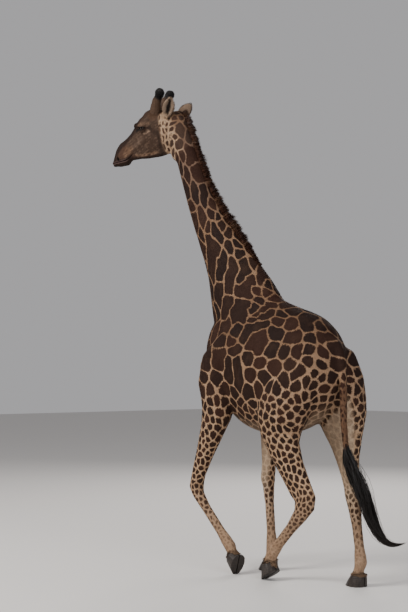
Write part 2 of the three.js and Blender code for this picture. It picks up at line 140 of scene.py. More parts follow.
def mesh_of(name, co, triangles):
    mesh = bpy.data.meshes.new(name)
    mesh.vertices.add(len(co))
    mesh.vertices.foreach_set("co", np.asarray(co, np.float32).ravel())
    mesh.loops.add(len(triangles) * 3)
    mesh.loops.foreach_set("vertex_index", np.asarray(triangles, np.int32).ravel())
    mesh.polygons.add(len(triangles))
    mesh.polygons.foreach_set("loop_start", np.arange(0, len(triangles) * 3, 3, dtype=np.int32))
    mesh.polygons.foreach_set("use_smooth", np.ones(len(triangles), bool))
    mesh.update()
    return mesh


def give(mesh, name, values, domain="POINT"):
    """An attribute of plain numbers, or of colours where each value is a row of three."""
    values = np.asarray(values, np.float32)
    if values.ndim == 1:
        mesh.attributes.new(name, "FLOAT", domain).data.foreach_set("value", values)
    else:
        values = np.column_stack([values, np.ones(len(values), np.float32)])
        mesh.attributes.new(name, "FLOAT_COLOR", domain).data.foreach_set("color", values.ravel())


def set_points(mesh, points):
    mesh.vertices.foreach_set("co", np.asarray(points, np.float32).ravel())
    mesh.update()


def weigh(piece, name, weights, levels=64):
    """A vertex group with the given weights, set in a number of even levels."""
    group = piece.vertex_groups.new(name=name)
    level = np.round(np.clip(weights, 0, 1) * levels).astype(int)
    for step in range(1, levels + 1):
        members = np.flatnonzero(level == step)
        if len(members):
            group.add(members.tolist(), step / levels, "REPLACE")


def unit(vectors):
    return vectors / np.maximum(np.linalg.norm(vectors, axis=-1, keepdims=True), 1e-9)


def smooth_step(low, high, x):
    """0 up to low, 1 from high on, and an even rise between; low may be the greater."""
    t = np.clip((np.asarray(x, float) - low) / (high - low), 0, 1)
    return t * t * (3 - 2 * t)


def bump(x, centre, spread):
    """1 at the centre, falling off smoothly over the spread."""
    return np.exp(-(((np.asarray(x, float) - centre) / spread) ** 2))


# ---------------------------------------------------------------- the camera
CAMERA_AT = (7.3873, 7.5819, 1.845)
CAMERA_HEADING, CAMERA_RISE = (-0.6691, -0.7431), math.radians(3.693)
FOCAL_LENGTH, FRAME_WIDTH, FRAME_HEIGHT = 1100, 408, 612


def camera_look():
    level = math.cos(CAMERA_RISE)
    return Vector((CAMERA_HEADING[0] * level, CAMERA_HEADING[1] * level, math.sin(CAMERA_RISE)))


def view_line(x, y):
    """The direction from the camera through a place in its frame."""
    look = camera_look()
    right = look.cross(Vector((0, 0, 1))).normalized()
    up = right.cross(look)
    return (look * FOCAL_LENGTH + right * (x - FRAME_WIDTH / 2) - up * (y - FRAME_HEIGHT / 2)).normalized()


def camera():
    lens = bpy.data.cameras.new("camera")
    lens.sensor_fit = "VERTICAL"
    lens.sensor_height = 24
    lens.lens = FOCAL_LENGTH / FRAME_HEIGHT * lens.sensor_height
    lens.clip_end = 200
    holder = bpy.data.objects.new("camera", lens)
    holder.location = CAMERA_AT
    holder.rotation_euler = camera_look().to_track_quat("-Z", "Y").to_euler()
    bpy.context.collection.objects.link(holder)
    bpy.context.scene.camera = holder


# ---------------------------------------------------------------- the skin
FLESH = (
    "head", "neck", "trunk", "tail", "leg_hind_left", "leg_hind_right", "leg_fore_left", "leg_fore_right",
)
EARS = ("ear_left", "ear_right")
FILLERS = ("ossicone_left", "ossicone_right", "eye_left", "eye_right")
FINE_GRAIN = 0.0065
GRAIN = FINE_GRAIN
SKIN_FACES = 100000

# The lines that the coat lies along and its pattern follows, each drawn the way the hair lies.
# [forward, left, up, girth, width of a patch, how long a patch is for its width, half the line between]
LINES = {
    "back": [
        (1.30, 0.00, 2.46, 0.22, 0.150, 1.7, 0.0050),
        (1.05, 0.00, 2.50, 0.22, 0.160, 1.7, 0.0050),
        (0.60, 0.00, 2.32, 0.22, 0.165, 1.6, 0.0055),
        (0.22, 0.00, 2.16, 0.22, 0.120, 1.4, 0.0060),
    ],
    "flank": [
        (1.40, 0.24, 2.00, 0.22, 0.160, 1.3, 0.0050),
        (0.95, 0.34, 1.95, 0.24, 0.155, 1.2, 0.0054),
        (0.50, 0.34, 1.95, 0.24, 0.125, 1.2, 0.0056),
    ],
    "belly": [
        (1.45, 0.10, 1.70, 0.20, 0.096, 1.2, 0.0056),
        (0.95, 0.16, 1.45, 0.22, 0.086, 1.1, 0.0060),
        (0.45, 0.16, 1.55, 0.20, 0.074, 1.1, 0.0064),
        (0.18, 0.08, 1.80, 0.14, 0.070, 1.1, 0.0080),
    ],
    "neck": [
        (2.104, 0.206, 4.513, 0.10, 0.060, 1.4, 0.0060),
        (2.034, 0.172, 4.303, 0.11, 0.068, 1.7, 0.0060),
        (1.954, 0.135, 4.022, 0.13, 0.078, 1.9, 0.0062),
        (1.836, 0.088, 3.662, 0.15, 0.088, 2.0, 0.0065),
        (1.662, 0.045, 3.286, 0.20, 0.100, 2.0, 0.0065),
        (1.478, 0.015, 2.955, 0.28, 0.115, 1.9, 0.0065),
        (1.300, 0.000, 2.610, 0.34, 0.135, 1.7, 0.0062),
    ],
    "hind_left": [
        (0.36, 0.24, 2.05, 0.22, 0.108, 1.2, 0.0058),
        (0.50, 0.32, 1.72, 0.24, 0.073, 1.1, 0.0056),
        (0.62, 0.24, 1.37, 0.20, 0.059, 1.1, 0.0058),
        (0.45, 0.21, 1.03, 0.13, 0.052, 1.2, 0.0055),
        (0.30, 0.182, 0.76, 0.09, 0.042, 1.2, 0.0060),
        (0.55, 0.18, 0.47, 0.06, 0.038, 1.3, 0.0068),
        (0.768, 0.178, 0.245, 0.06, 0.031, 1.2, 0.0070),
        (0.790, 0.180, 0.120, 0.06, 0.026, 1.0, 0.0070),
    ],
    "hind_right": [
        (0.32, -0.24, 2.05, 0.22, 0.092, 1.2, 0.0058),
        (0.32, -0.30, 1.72, 0.24, 0.066, 1.1, 0.0056),
        (0.30, -0.26, 1.40, 0.20, 0.058, 1.1, 0.0060),
        (0.20, -0.22, 1.10, 0.13, 0.052, 1.2, 0.0058),
        (0.10, -0.197, 0.82, 0.09, 0.042, 1.2, 0.0062),
        (0.06, -0.19, 0.50, 0.06, 0.038, 1.3, 0.0068),
        (0.022, -0.19, 0.205, 0.06, 0.031, 1.2, 0.0070),
        (0.066, -0.19, 0.070, 0.06, 0.026, 1.0, 0.0070),
    ],
    "fore_left": [
        (1.32, 0.24, 2.25, 0.20, 0.176, 1.4, 0.0050),
        (1.46, 0.26, 1.93, 0.20, 0.098, 1.4, 0.0054),
        (1.43, 0.235, 1.56, 0.17, 0.068, 1.2, 0.0060),
        (1.6, 0.22, 1.15, 0.11, 0.054, 1.2, 0.0056),
        (1.8, 0.205, 0.77, 0.08, 0.047, 1.1, 0.0060),
        (1.55, 0.2, 0.5, 0.06, 0.038, 1.3, 0.0070),
        (1.29, 0.2, 0.245, 0.06, 0.032, 1.2, 0.0072),
        (1.23, 0.198, 0.15, 0.06, 0.028, 1.0, 0.0072),
    ],
    "fore_right": [
        (1.3, -0.24, 2.25, 0.20, 0.176, 1.4, 0.0050),
        (1.4, -0.26, 1.93, 0.20, 0.098, 1.4, 0.0054),
        (1.17, -0.23, 1.65, 0.17, 0.072, 1.2, 0.0060),
        (1.17, -0.21, 1.25, 0.11, 0.055, 1.2, 0.0056),
        (1.17, -0.195, 0.875, 0.08, 0.047, 1.1, 0.0060),
        (1.14, -0.19, 0.55, 0.06, 0.038, 1.3, 0.0070),
        (1.12, -0.19, 0.205, 0.06, 0.032, 1.2, 0.0072),
        (1.16, -0.19, 0.07, 0.06, 0.028, 1.0, 0.0072),
    ],
    "tail": [
        (0.15, 0.0, 2.14, 0.07, 0.060, 1.3, 0.0070),
        (0.066, 0.0, 1.985, 0.05, 0.040, 1.5, 0.0070),
        (0.046, 0.0, 1.72, 0.04, 0.034, 1.5, 0.0070),
        (0.050, -0.008, 1.44, 0.03, 0.030, 1.5, 0.0070),
        (0.036, -0.032, 1.15, 0.03, 0.028, 1.5, 0.0070),
    ],
}
# The same down the middle of the face and down each jowl, in the head's own frame.
# [along the face, up, girth, width of a patch, how long a patch is for its width, half the line between]
FACE_LINE = [
    (0.84, 0.10, 0.05, 0.020, 1.0, 0.008),
    (0.62, 0.08, 0.09, 0.022, 1.0, 0.008),
    (0.40, 0.03, 0.14, 0.026, 1.1, 0.008),
    (0.20, 0.02, 0.16, 0.034, 1.5, 0.009),
    (0.02, 0.00, 0.12, 0.050, 1.5, 0.008),
]
JOWL_OUT = 0.10
JOWL_LINE = [
    (0.270, -0.200, 0.085, 0.052, 2.6, 0.0095),
    (0.150, -0.010, 0.085, 0.050, 2.6, 0.0095),
    (0.060, 0.140, 0.085, 0.046, 2.4, 0.0095),
]


def laid_lines():
    """Every stretch of the lines, both sides of the trunk, as start, end and their five measures."""
    runs = {}
    for name, rows in LINES.items():
        runs[name] = [(place(*row[:3]), row[3:]) for row in rows]
        if name in ("flank", "belly"):
            runs[name + "_right"] = [(place(row[0], -row[1], row[2]), row[3:]) for row in rows]
    runs["face"] = [(from_head([x, 0, z]), tuple(rest)) for x, z, *rest in FACE_LINE]
    for side in (1, -1):
        jowl = [(from_head([x, side * JOWL_OUT, z]), tuple(rest)) for x, z, *rest in JOWL_LINE]
        runs["face_jowl_%d" % side] = jowl
    stretches = []
    for name, run in runs.items():
        for (a, low), (b, high) in zip(run, run[1:]):
            stretches.append((name, a, b, np.array(low), np.array(high)))
    return stretches


STRETCHES = laid_lines()


def lie_of(points):
    """The way the hair lies at each point, the patch measures there, and each part's share in it."""
    lie = np.zeros((len(points), 3))
    measures = np.zeros((len(points), 3))
    total = np.zeros(len(points))
    shares = {}
    for name, a, b, low, high in STRETCHES:
        run = b - a
        t = np.clip((points - a) @ run / (run @ run), 0, 1)
        away = np.linalg.norm(points - a - t[:, None] * run, axis=1)
        measure = low + t[:, None] * (high - low)
        share = 1 / (0.02 + (away / measure[:, 0]) ** 4)
        lie += share[:, None] * run / np.linalg.norm(run)
        measures += share[:, None] * measure[:, 1:]
        total += share
        shares[name] = shares.get(name, 0) + share
    shares = {name: share / total for name, share in shares.items()}
    return lie / total[:, None], measures / total[:, None], shares


def share_of(shares, *parts):
    """The share of all lines whose names start with one of the parts."""
    return sum(share for name, share in shares.items() if name.startswith(parts))


# How strongly the skin of each part is eased, 0 to 1; a leg's upper part is eased less than the body.
EASE_BODY, EASE_LESS, EASE_LEGS, EASE_FEET, EASE_TAIL, EASE_HEAD = 0.9, 0.35, 0.10, 0.06, 0.05, 0.16
EASE_ROUNDS, EAR_GRAIN, EAR_ROUNDS = 160, 0.0030, 6


def shape_skin():
    """One skin over all the flesh: the solids are merged and eased into one another."""
    skin = cast_of("skin", *FLESH, *FILLERS)
    finish_with(skin, "REMESH", mode="VOXEL", voxel_size=GRAIN, adaptivity=0)
    co = points_of(skin.data)
    _, _, shares = lie_of(co)
    on_head = smooth_step(0.2, 0.7, share_of(shares, "face"))
    lower = smooth_step(1.5, 1.1, co[:, 2])
    ease = EASE_BODY - EASE_LESS * smooth_step(0.3, 0.8, share_of(shares, "hind", "fore"))
    ease = ease * (1 - lower) + EASE_LEGS * lower
    ease = np.where(co[:, 2] < 0.35, EASE_FEET, ease)
    tail = smooth_step(0.4, 0.8, share_of(shares, "tail"))
    ease = ease * (1 - tail) + EASE_TAIL * tail
    ease = ease * (1 - on_head) + EASE_HEAD * on_head
    weigh(skin, "ease", ease)
    rounds = int(EASE_ROUNDS * (FINE_GRAIN / GRAIN) ** 2)
    finish_with(skin, "SMOOTH", factor=0.5, iterations=rounds, vertex_group="ease")
    return skin


def add_ears(skin):
    """The ears are thin, so they are merged at a finer grain and then set into the head's skin."""
    both = bmesh.new()
    both.from_mesh(skin.data)
    for name in EARS:
        ear = cast_of(name + "_fine", name)
        finish_with(ear, "REMESH", mode="VOXEL", voxel_size=EAR_GRAIN, adaptivity=0)
        finish_with(ear, "SMOOTH", factor=0.5, iterations=EAR_ROUNDS)
        both.from_mesh(ear.data)
        bpy.data.objects.remove(ear)
    both.to_mesh(skin.data)
    both.free()


def node_tree(name):
    return tree_of(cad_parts[name].data)


# Half the width of an ear, from its root at 0 to its tip at 1.
EAR_HALVES = ([0, 0.16, 0.34, 0.55, 0.78, 0.94, 1.02], [0.032, 0.044, 0.058, 0.062, 0.046, 0.020, 0.006])
EAR_REACH = 0.012


def ear_view(co):
    """Where points lie on the ears: how surely, how far to the tip, and how far across, -1 to 1; with the
    way that the hair lies there and the way that the ear opens."""
    face = in_head(co)
    sure, length, wide = np.zeros((3, len(co)))
    lie, opening = np.zeros((2, len(co), 3))
    for side, pose in EAR_POSES.items():
        root, tip, opens = (np.array(row) for row in pose)
        run = unit(tip - root)
        across = unit(np.cross(run, opens))
        gap = face - root
        s = gap @ run / EAR_LENGTH
        shape = node_tree("ear_" + side)
        for i in np.flatnonzero((np.linalg.norm(gap, axis=1) < 0.30) & (s > 0.05)):
            away = shape.find_nearest(co[i])[3]
            if away < EAR_REACH:
                sure[i] = smooth_step(EAR_REACH, 0.005, away) * smooth_step(0.06, 0.20, s[i])
                length[i] = s[i]
                wide[i] = gap[i] @ across / np.interp(s[i], *EAR_HALVES) * np.sign(opens[1])
                lie[i], opening[i] = HEAD_TURN @ run, HEAD_TURN @ unit(opens)
    return sure, length, wide, lie, opening


def press(co, run, spread, height):
    """How far a long ridge, or a furrow where height is below 0, lifts the skin of both sides."""
    places = np.array([place(*row) for row in run])
    lift = 0
    for mirror in (1, -1):
        lift = lift + height * bump(to_run(co, places * [mirror, 1, 1])[0], 0, spread)
    return lift


# The ridges and furrows of the left side: forward, left and up of each place, then spread and height.
RIDGES = [
    ([(1.08, 0.15, 2.52), (1.30, 0.30, 2.22), (1.50, 0.34, 1.95)], 0.045, 0.010),  # the shoulder blade
    ([(0.98, 0.20, 2.45), (1.08, 0.36, 2.10), (1.12, 0.38, 1.80)], 0.055, -0.008),  # behind the shoulder
    ([(0.44, 0.24, 2.20), (0.38, 0.28, 2.12)], 0.055, 0.010),  # the hip
    ([(0.62, 0.30, 2.16), (0.66, 0.36, 1.90)], 0.070, -0.010),  # the hollow of the flank
    ([(1.42, 0.20, 2.30), (1.66, 0.13, 2.75), (1.86, 0.14, 3.25)], 0.030, -0.006),  # the neck's groove
    ([(0.70, 0.36, 1.62), (0.80, 0.34, 1.72), (0.86, 0.33, 1.86)], 0.025, 0.006),  # the fold at the stifle
]
RIB_STEP, RIB_RISE, RIB_LEAN, RIBS_UP = 0.085, 0.0022, 0.25, 1.9

# The elbow or stifle, the knee or hock, and the fetlock of each leg, as forward, left and up.
LEG_BONES = {
    "hind_left": [(0.700, 0.245, 1.370), (0.272, 0.182, 0.742), (0.768, 0.178, 0.245)],
    "hind_right": [(0.330, -0.262, 1.400), (0.112, -0.197, 0.825), (0.022, -0.190, 0.205)],
    "fore_left": [(1.425, 0.235, 1.540), (1.806, 0.205, 0.762), (1.290, 0.200, 0.245)],
    "fore_right": [(1.165, -0.230, 1.650), (1.172, -0.195, 0.875), (1.120, -0.190, 0.205)],
}


def sculpt_leg(out, leg, co, normals):
    """Adds to the lift of the skin the joints, sinews and hollows of one leg."""
    upper, knee, foot = (place(*bone) for bone in LEG_BONES[leg])
    down = unit(foot - knee)
    left = unit(np.array([1.0, 0, 0]) - down * down[0])
    front = np.cross(left, down)
    front = front * (1 if front[1] < 0 else -1)
    gap = co - knee
    t = gap @ down / np.linalg.norm(foot - knee)
    away = np.linalg.norm(gap - (gap @ down)[:, None] * down, axis=1)
    near = (away < 0.13) & (t > -0.4) & (t < 1.35) & (np.abs(co[:, 0] - knee[0]) < 0.14)
    to_front, to_side = normals @ front, np.abs(normals @ left)
    shaft = smooth_step(0.06, 0.16, t) * smooth_step(0.97, 0.86, t)
    # The sinew behind the cannon bone, then the fetlock and the hollow of the pastern.
    add = -0.0042 * bump(to_front, -0.30, 0.26) * to_side * shaft
    add += 0.0018 * smooth_step(-0.75, -0.95, to_front) * shaft
    add += 0.0060 * bump(t, 1.00, 0.060) * smooth_step(-0.2, -0.9, to_front)
    add += 0.0030 * bump(t, 1.00, 0.050) * to_side
    add -= 0.0035 * bump(t, 1.14, 0.05) * smooth_step(0.0, -0.8, to_front)
    if leg.startswith("fore"):
        # The knee: its front, its sides, the bone behind it and the hollow below.
        add += 0.0045 * bump(t, 0.00, 0.060) * smooth_step(0.1, 0.8, to_front)
        add += 0.0035 * bump(t, 0.03, 0.050) * to_side
        add += 0.0050 * bump(t, -0.10, 0.040) * smooth_step(-0.3, -0.9, to_front)
        add -= 0.0035 * bump(t, 0.13, 0.040) * smooth_step(0.0, 0.8, to_front)
    else:
        # The hock: its point and its sides.
        add += 0.0070 * bump(t, -0.07, 0.050) * smooth_step(-0.4, -0.9, to_front)
        add += 0.0030 * bump(t, 0.03, 0.060) * to_side
    out += np.where(near, add, 0)
    if leg.startswith("hind"):
        # The hollow between the shin and the sinew above the hock.
        up = unit(upper - knee)
        rise = gap @ up / np.linalg.norm(upper - knee)
        back = unit(np.cross(up, left))
        back = back * (1 if back[1] > 0 else -1)
        close = np.linalg.norm(gap - (gap @ up)[:, None] * up, axis=1) < 0.16
        close &= (np.abs(co[:, 0] - knee[0]) < 0.13) & (np.abs(normals @ left) > 0.3)
        out += np.where(close, -0.0065 * bump(rise, 0.20, 0.10) * bump(gap @ back, 0.028, 0.016), 0)


def sculpt_body(skin):
    """Bones, sinews and folds under the skin of the trunk, neck and legs."""
    co = points_of(skin.data)
    normals = points_of(skin.data, "normal")
    out = np.zeros(len(co))
    for run, spread, height in RIDGES:
        out += press(co, run, spread, height)
    ribs = bump(co[:, 2], 1.95, 0.22) * smooth_step(0.22, 0.32, np.abs(co[:, 0]))
    run = FORWARD_0 - co[:, 1] + RIB_LEAN * (co[:, 2] - RIBS_UP)
    wave = RIB_RISE * np.sin(run * 2 * math.pi / RIB_STEP)
    out += wave * ribs * smooth_step(0.62, 0.72, run) * smooth_step(1.12, 1.02, run)
    for leg in LEG_BONES:
        sculpt_leg(out, leg, co, normals)
    set_points(skin.data, co + normals * out[:, None])


# ---------------------------------------------------------------- the head's own shape
EYE_LOOK, EYE_SLANT = Vector((0.22, 0.95, 0.20)).normalized(), Vector((0.86, 0, 0.50))
SLIT = (EYE_SLANT - EYE_LOOK * EYE_LOOK.dot(EYE_SLANT)).normalized()
LID_UP = EYE_LOOK.cross(SLIT) * (1 if EYE_LOOK.cross(SLIT).z > 0 else -1)
SLIT_HALF, UPPER_LID, LOWER_LID, LID_CURVE = 0.0272, 0.0112, 0.0130, 1.9
MOUTH = [
    (0.562, 0.048), (0.600, 0.044), (0.650, 0.042), (0.700, 0.050), (0.755, 0.076), (0.803, 0.104),
    (0.870, 0.122),
]
HORN_LINE = [
    (0.150, 0.062, 0.186), (0.088, 0.076, 0.232), (0.028, 0.094, 0.268), (-0.036, 0.120, 0.284),
    (-0.084, 0.144, 0.302),
]
RIGHT_HORN_EXTRA = 0.0035  # the right horn stands a little higher at each place along it
NOSTRIL_AT, NOSTRIL_RUN = (0.752, 0.112), (-0.30, 0.95)


def horn_line(side):
    """The middle of a horn from its root to its knob, drawn as if it were the left one."""
    higher = [[0, 0, RIGHT_HORN_EXTRA * i * (side < 0)] for i in range(len(HORN_LINE))]
    return np.array(HORN_LINE) + higher


def to_run(points, run):
    """Distance from flat points to a run of straight stretches, and how far along it each is, 0 to 1."""
    run = np.asarray(run, float)
    best, along = np.full(len(points), 9.0), np.zeros(len(points))
    for k, (a, b) in enumerate(zip(run, run[1:])):
        t = np.clip((points - a) @ (b - a) / ((b - a) @ (b - a)), 0, 1)
        away = np.linalg.norm(points - a - t[:, None] * (b - a), axis=1)
        along = np.where(away < best, (k + t) / (len(run) - 1), along)
        best = np.minimum(best, away)
    return best, along


def eye_view(face):
    """Where points of the head lie as seen from the eye: how far off, and how far past the lids' rim."""
    gap = face - np.array(EYE_AT)
    far = np.linalg.norm(gap, axis=1)
    way = gap / far[:, None]
    out = way @ np.array(EYE_LOOK)
    across, above = way @ np.array(SLIT) * EYE_RADIUS, way @ np.array(LID_UP) * EYE_RADIUS
    high = np.where(above > 0, UPPER_LID, LOWER_LID)
    past = np.abs(above) + high * (np.abs(across / SLIT_HALF) ** LID_CURVE - 1)
    past = np.where(out > 0, past, past + EYE_RADIUS * (1 - out))
    return far, above, past


def finer(piece, chosen):
    """Splits in four the faces whose corners are all chosen."""
    mesh = bmesh.new()
    mesh.from_mesh(piece.data)
    mesh.verts.ensure_lookup_table()
    edges = [edge for edge in mesh.edges if chosen[edge.verts[0].index] and chosen[edge.verts[1].index]]
    bmesh.ops.subdivide_edges(mesh, edges=edges, cuts=1, use_grid_fill=True)
    mesh.to_mesh(piece.data)
    mesh.free()


def folded(co):
    """Points in the head's frame with the right side laid over the left, and the side that each is on."""
    face = in_head(co)
    return face * [1, 0, 1] + np.abs(face) * [0, 1, 0], np.where(face[:, 1] < 0, -1.0, 1.0)


def mirrored(side):
    """What turns folded points or directions back to their own side."""
    return np.column_stack([np.ones_like(side), side, np.ones_like(side)])


# Swellings of the face, or hollows where the height is below 0: the height, then where each lies along
# the face and its spread, where it lies up the face and its spread, and how far off the middle it starts.
FACE_SWELLS = [
    (0.005, 0.47, 0.06, 0.075, 0.022, 0.03),
    (0.005, 0.38, 0.07, 0.050, 0.022, 0.03),
    (-0.005, 0.47, 0.06, 0.150, 0.030, 0.03),
    (-0.005, 0.52, 0.05, 0.020, 0.030, 0.03),
    (0.006, 0.27, 0.07, -0.06, 0.07, 0.03),
    (-0.006, 0.235, 0.03, 0.150, 0.035, 0.05),
    (-0.004, 0.36, 0.05, -0.085, 0.035, 0.03),
    (0.004, 0.600, 0.03, 0.120, 0.04, 0.03),
]
BROW_KNOB_AT = (0.374, 0.070, 0.246)


def lift_face(face, normals):
    """Hollows and swellings of the face."""
    x, y, z = face.T
    out = np.zeros(len(face))
    for height, along, long, up, tall, off in FACE_SWELLS:
        out += height * bump(x, along, long) * bump(z, up, tall) * (y > off)
    out += 0.015 * bump(np.linalg.norm(face - BROW_KNOB_AT, axis=1), 0, 0.030)
    nose = 0.004 * bump(x, 0.66, 0.09) + 0.002 * bump(x, 0.52, 0.06)
    out += nose * smooth_step(0.3, 0.8, normals[:, 2]) * (z > 0.10)
    out += 0.010 * bump(x, 0.36, 0.09) * smooth_step(-0.2, -0.8, normals[:, 2]) * (z < 0.0)
    chin = 0.009 * bump(x, 0.71, 0.032) - 0.013 * bump(x, 0.85, 0.045)
    out += chin * smooth_step(0.0, -0.7, normals[:, 2])
    return out


def open_mouth_and_nostril(out, face):
    """Adds to the lift of the face the mouth's line, its lips, and the nostril with its rim."""
    x, y, z = face.T
    flat = face[:, [0, 2]]
    away, _ = to_run(flat, MOUTH)
    over = z - np.interp(x, *zip(*MOUTH))
    lips = smooth_step(0.570, 0.620, x)
    out -= lips * 0.0065 * bump(away, 0, 0.0042)
    out += lips * 0.0040 * bump(over, 0.014, 0.009) * (over > 0)
    out += lips * 0.0018 * bump(over, -0.014, 0.008) * (over < 0)
    run = np.array(NOSTRIL_RUN) / np.linalg.norm(NOSTRIL_RUN)
    gap = flat - np.array(NOSTRIL_AT)
    up, wide = gap @ run, gap @ np.array([run[1], -run[0]])
    wide = wide + 0.25 * up ** 2 / 0.02
    room = np.clip(1 - (up / 0.025) ** 2, 0, 1) ** 0.5
    nose = (x > 0.68) & (y > 0.02)
    narrow = np.abs(wide) / np.maximum(room, 0.05) + 0.02 * (room == 0)
    rim = nose * bump(np.hypot(wide, np.maximum(np.abs(up) - 0.018, 0)), 0.0115, 0.0045)
    out += 0.0032 * rim - 0.016 * (nose * smooth_step(0.0085, 0.0035, narrow))


def with_lids(face):
    """The skin laid round the ball of the eye, and opened along the slit."""
    far, above, past = eye_view(face)
    lid = EYE_RADIUS + 0.0035 + 0.0014 * bump(past, 0.004, 0.003) + 0.0012 * (above > 0)
    lid = lid - 0.0022 * bump(past, 0.0125, 0.0026) * (above > 0)
    lid = lid - 0.0012 * bump(past, 0.010, 0.002) * (above < 0)
    lid = lid + 0.003 * bump(past, 0.019, 0.005) * (above > 0)
    lid = lid + (EYE_RADIUS - 0.007 - lid) * smooth_step(0.0006, -0.0012, past)
    hold = smooth_step(0.030, 0.012, past) * (far < 0.075)
    target = np.where(past < 0.012, lid, np.maximum(lid, far - 0.002))
    eye = np.array(EYE_AT)
    laid = eye + (face - eye) / far[:, None] * (far + (target - far) * hold)[:, None]
    return np.where((far < 0.085)[:, None], laid, face)


def drawn_under_horns(face):
    """The skin drawn in under the horns, so that they stand out of it."""
    away, along = to_run(face, HORN_LINE)
    draw = smooth_step(0.04, 0.14, along) * (away < 0.065)
    line = np.array(HORN_LINE)
    at = along * (len(line) - 1)
    spot = np.column_stack([np.interp(at, np.arange(len(line)), line[:, k]) for k in range(3)])
    return face + (spot - face) * (0.55 * draw)[:, None]


def refine_head(skin):
    """Finer faces round the eyes, the nostrils and the mouth."""
    face, _ = folded(points_of(skin.data))
    flat = face[:, [0, 2]]
    near_head = (face[:, 0] > -0.1) & (face[:, 2] > -0.3) & (face[:, 1] < 0.3)
    to_eye = np.linalg.norm(face - np.array(EYE_AT), axis=1)
    to_nostril = np.linalg.norm(flat - np.array(NOSTRIL_AT), axis=1)
    on_lips = (to_run(flat, MOUTH)[0] < 0.022) & (face[:, 0] > 0.54)
    finer(skin, near_head & ((to_eye < 0.075) | (to_nostril < 0.05) | on_lips))
    face, _ = folded(points_of(skin.data))
    to_eye = np.linalg.norm(face - np.array(EYE_AT), axis=1)
    finer(skin, (to_eye < 0.052) & (face[:, 0] > 0))


def sculpt_head(skin):
    """Shapes the face, its mouth, nostrils and lids, on both sides alike."""
    refine_head(skin)
    co = points_of(skin.data)
    face, side = folded(co)
    normals = points_of(skin.data, "normal") @ np.linalg.inv(HEAD_TURN).T
    normals = normals * mirrored(side)
    x, y, z = face.T
    on_head = (x > -0.12) & (z > -0.30) & (y < 0.20)
    out = lift_face(face, normals)
    open_mouth_and_nostril(out, face)
    face = face + (normals * (out * on_head)[:, None])
    face = drawn_under_horns(with_lids(face)) * mirrored(side)
    set_points(skin.data, np.where(on_head[:, None], from_head(face), co))


# How firmly the faces of each part are kept when the skin is thinned, 0 to 1, added up where parts meet.
KEEP_ALL, KEEP_FACE, KEEP_SHANKS, KEEP_NECK = 0.35, 0.5, 0.35, 0.25
KEEP_EYES, KEEP_MUZZLE, KEEP_EARS = 2, 1, 0.8


def thin_skin(skin, target):
    """Fewer faces where the body is broad and plain, few lost round the face and on the feet."""
    co = points_of(skin.data)
    _, _, shares = lie_of(co)
    keep = KEEP_ALL + KEEP_FACE * share_of(shares, "face") + KEEP_SHANKS * smooth_step(1.4, 0.9, co[:, 2])
    keep += KEEP_NECK * share_of(shares, "neck", "tail")
    face, _ = folded(co)
    keep += KEEP_EYES * (np.linalg.norm(face - np.array(EYE_AT), axis=1) < 0.05)
    keep += KEEP_MUZZLE * ((face[:, 0] > 0.55) & (face[:, 2] > -0.1))
    keep += KEEP_EARS * ear_view(co)[0]
    weigh(skin, "plain", 1 - np.clip(keep, 0, 1) * 0.97)
    triangles = sum(len(polygon.vertices) - 2 for polygon in skin.data.polygons)
    finish_with(skin, "DECIMATE", ratio=target / triangles, vertex_group="plain", vertex_group_factor=1.2,
                use_collapse_triangulate=True)


def scatter(co, triangles, count, rng, weight=None):
    """Points spread at random over the triangles, with the triangle and the corner shares of each."""
    a, b, c = co[triangles[:, 0]], co[triangles[:, 1]], co[triangles[:, 2]]
    area = 0.5 * np.linalg.norm(np.cross(b - a, c - a), axis=1)
    if weight is not None:
        area = area * weight[triangles].mean(axis=1)
    chosen = rng.choice(len(triangles), count, p=area / area.sum())
    u, v = rng.random((2, count))
    flip = u + v > 1
    u, v = np.where(flip, 1 - u, u), np.where(flip, 1 - v, v)
    corner_shares = np.column_stack([1 - u - v, u, v])
    points = np.einsum("ij,ijk->ik", corner_shares, co[triangles[chosen]])
    return points, chosen, corner_shares


def wander(points, scale, seed):
    """A slow random drift, three waves deep, that keeps the pattern from being too even."""
    rng = np.random.default_rng(seed)
    drift = np.zeros((len(points), 3))
    for _ in range(9):
        direction = unit(rng.normal(size=3)) / scale * rng.uniform(0.6, 1.6)
        push = unit(rng.normal(size=3))
        drift += np.sin(points @ direction * 2 * math.pi + rng.uniform(0, 6.28))[:, None] * push
    return drift / 3


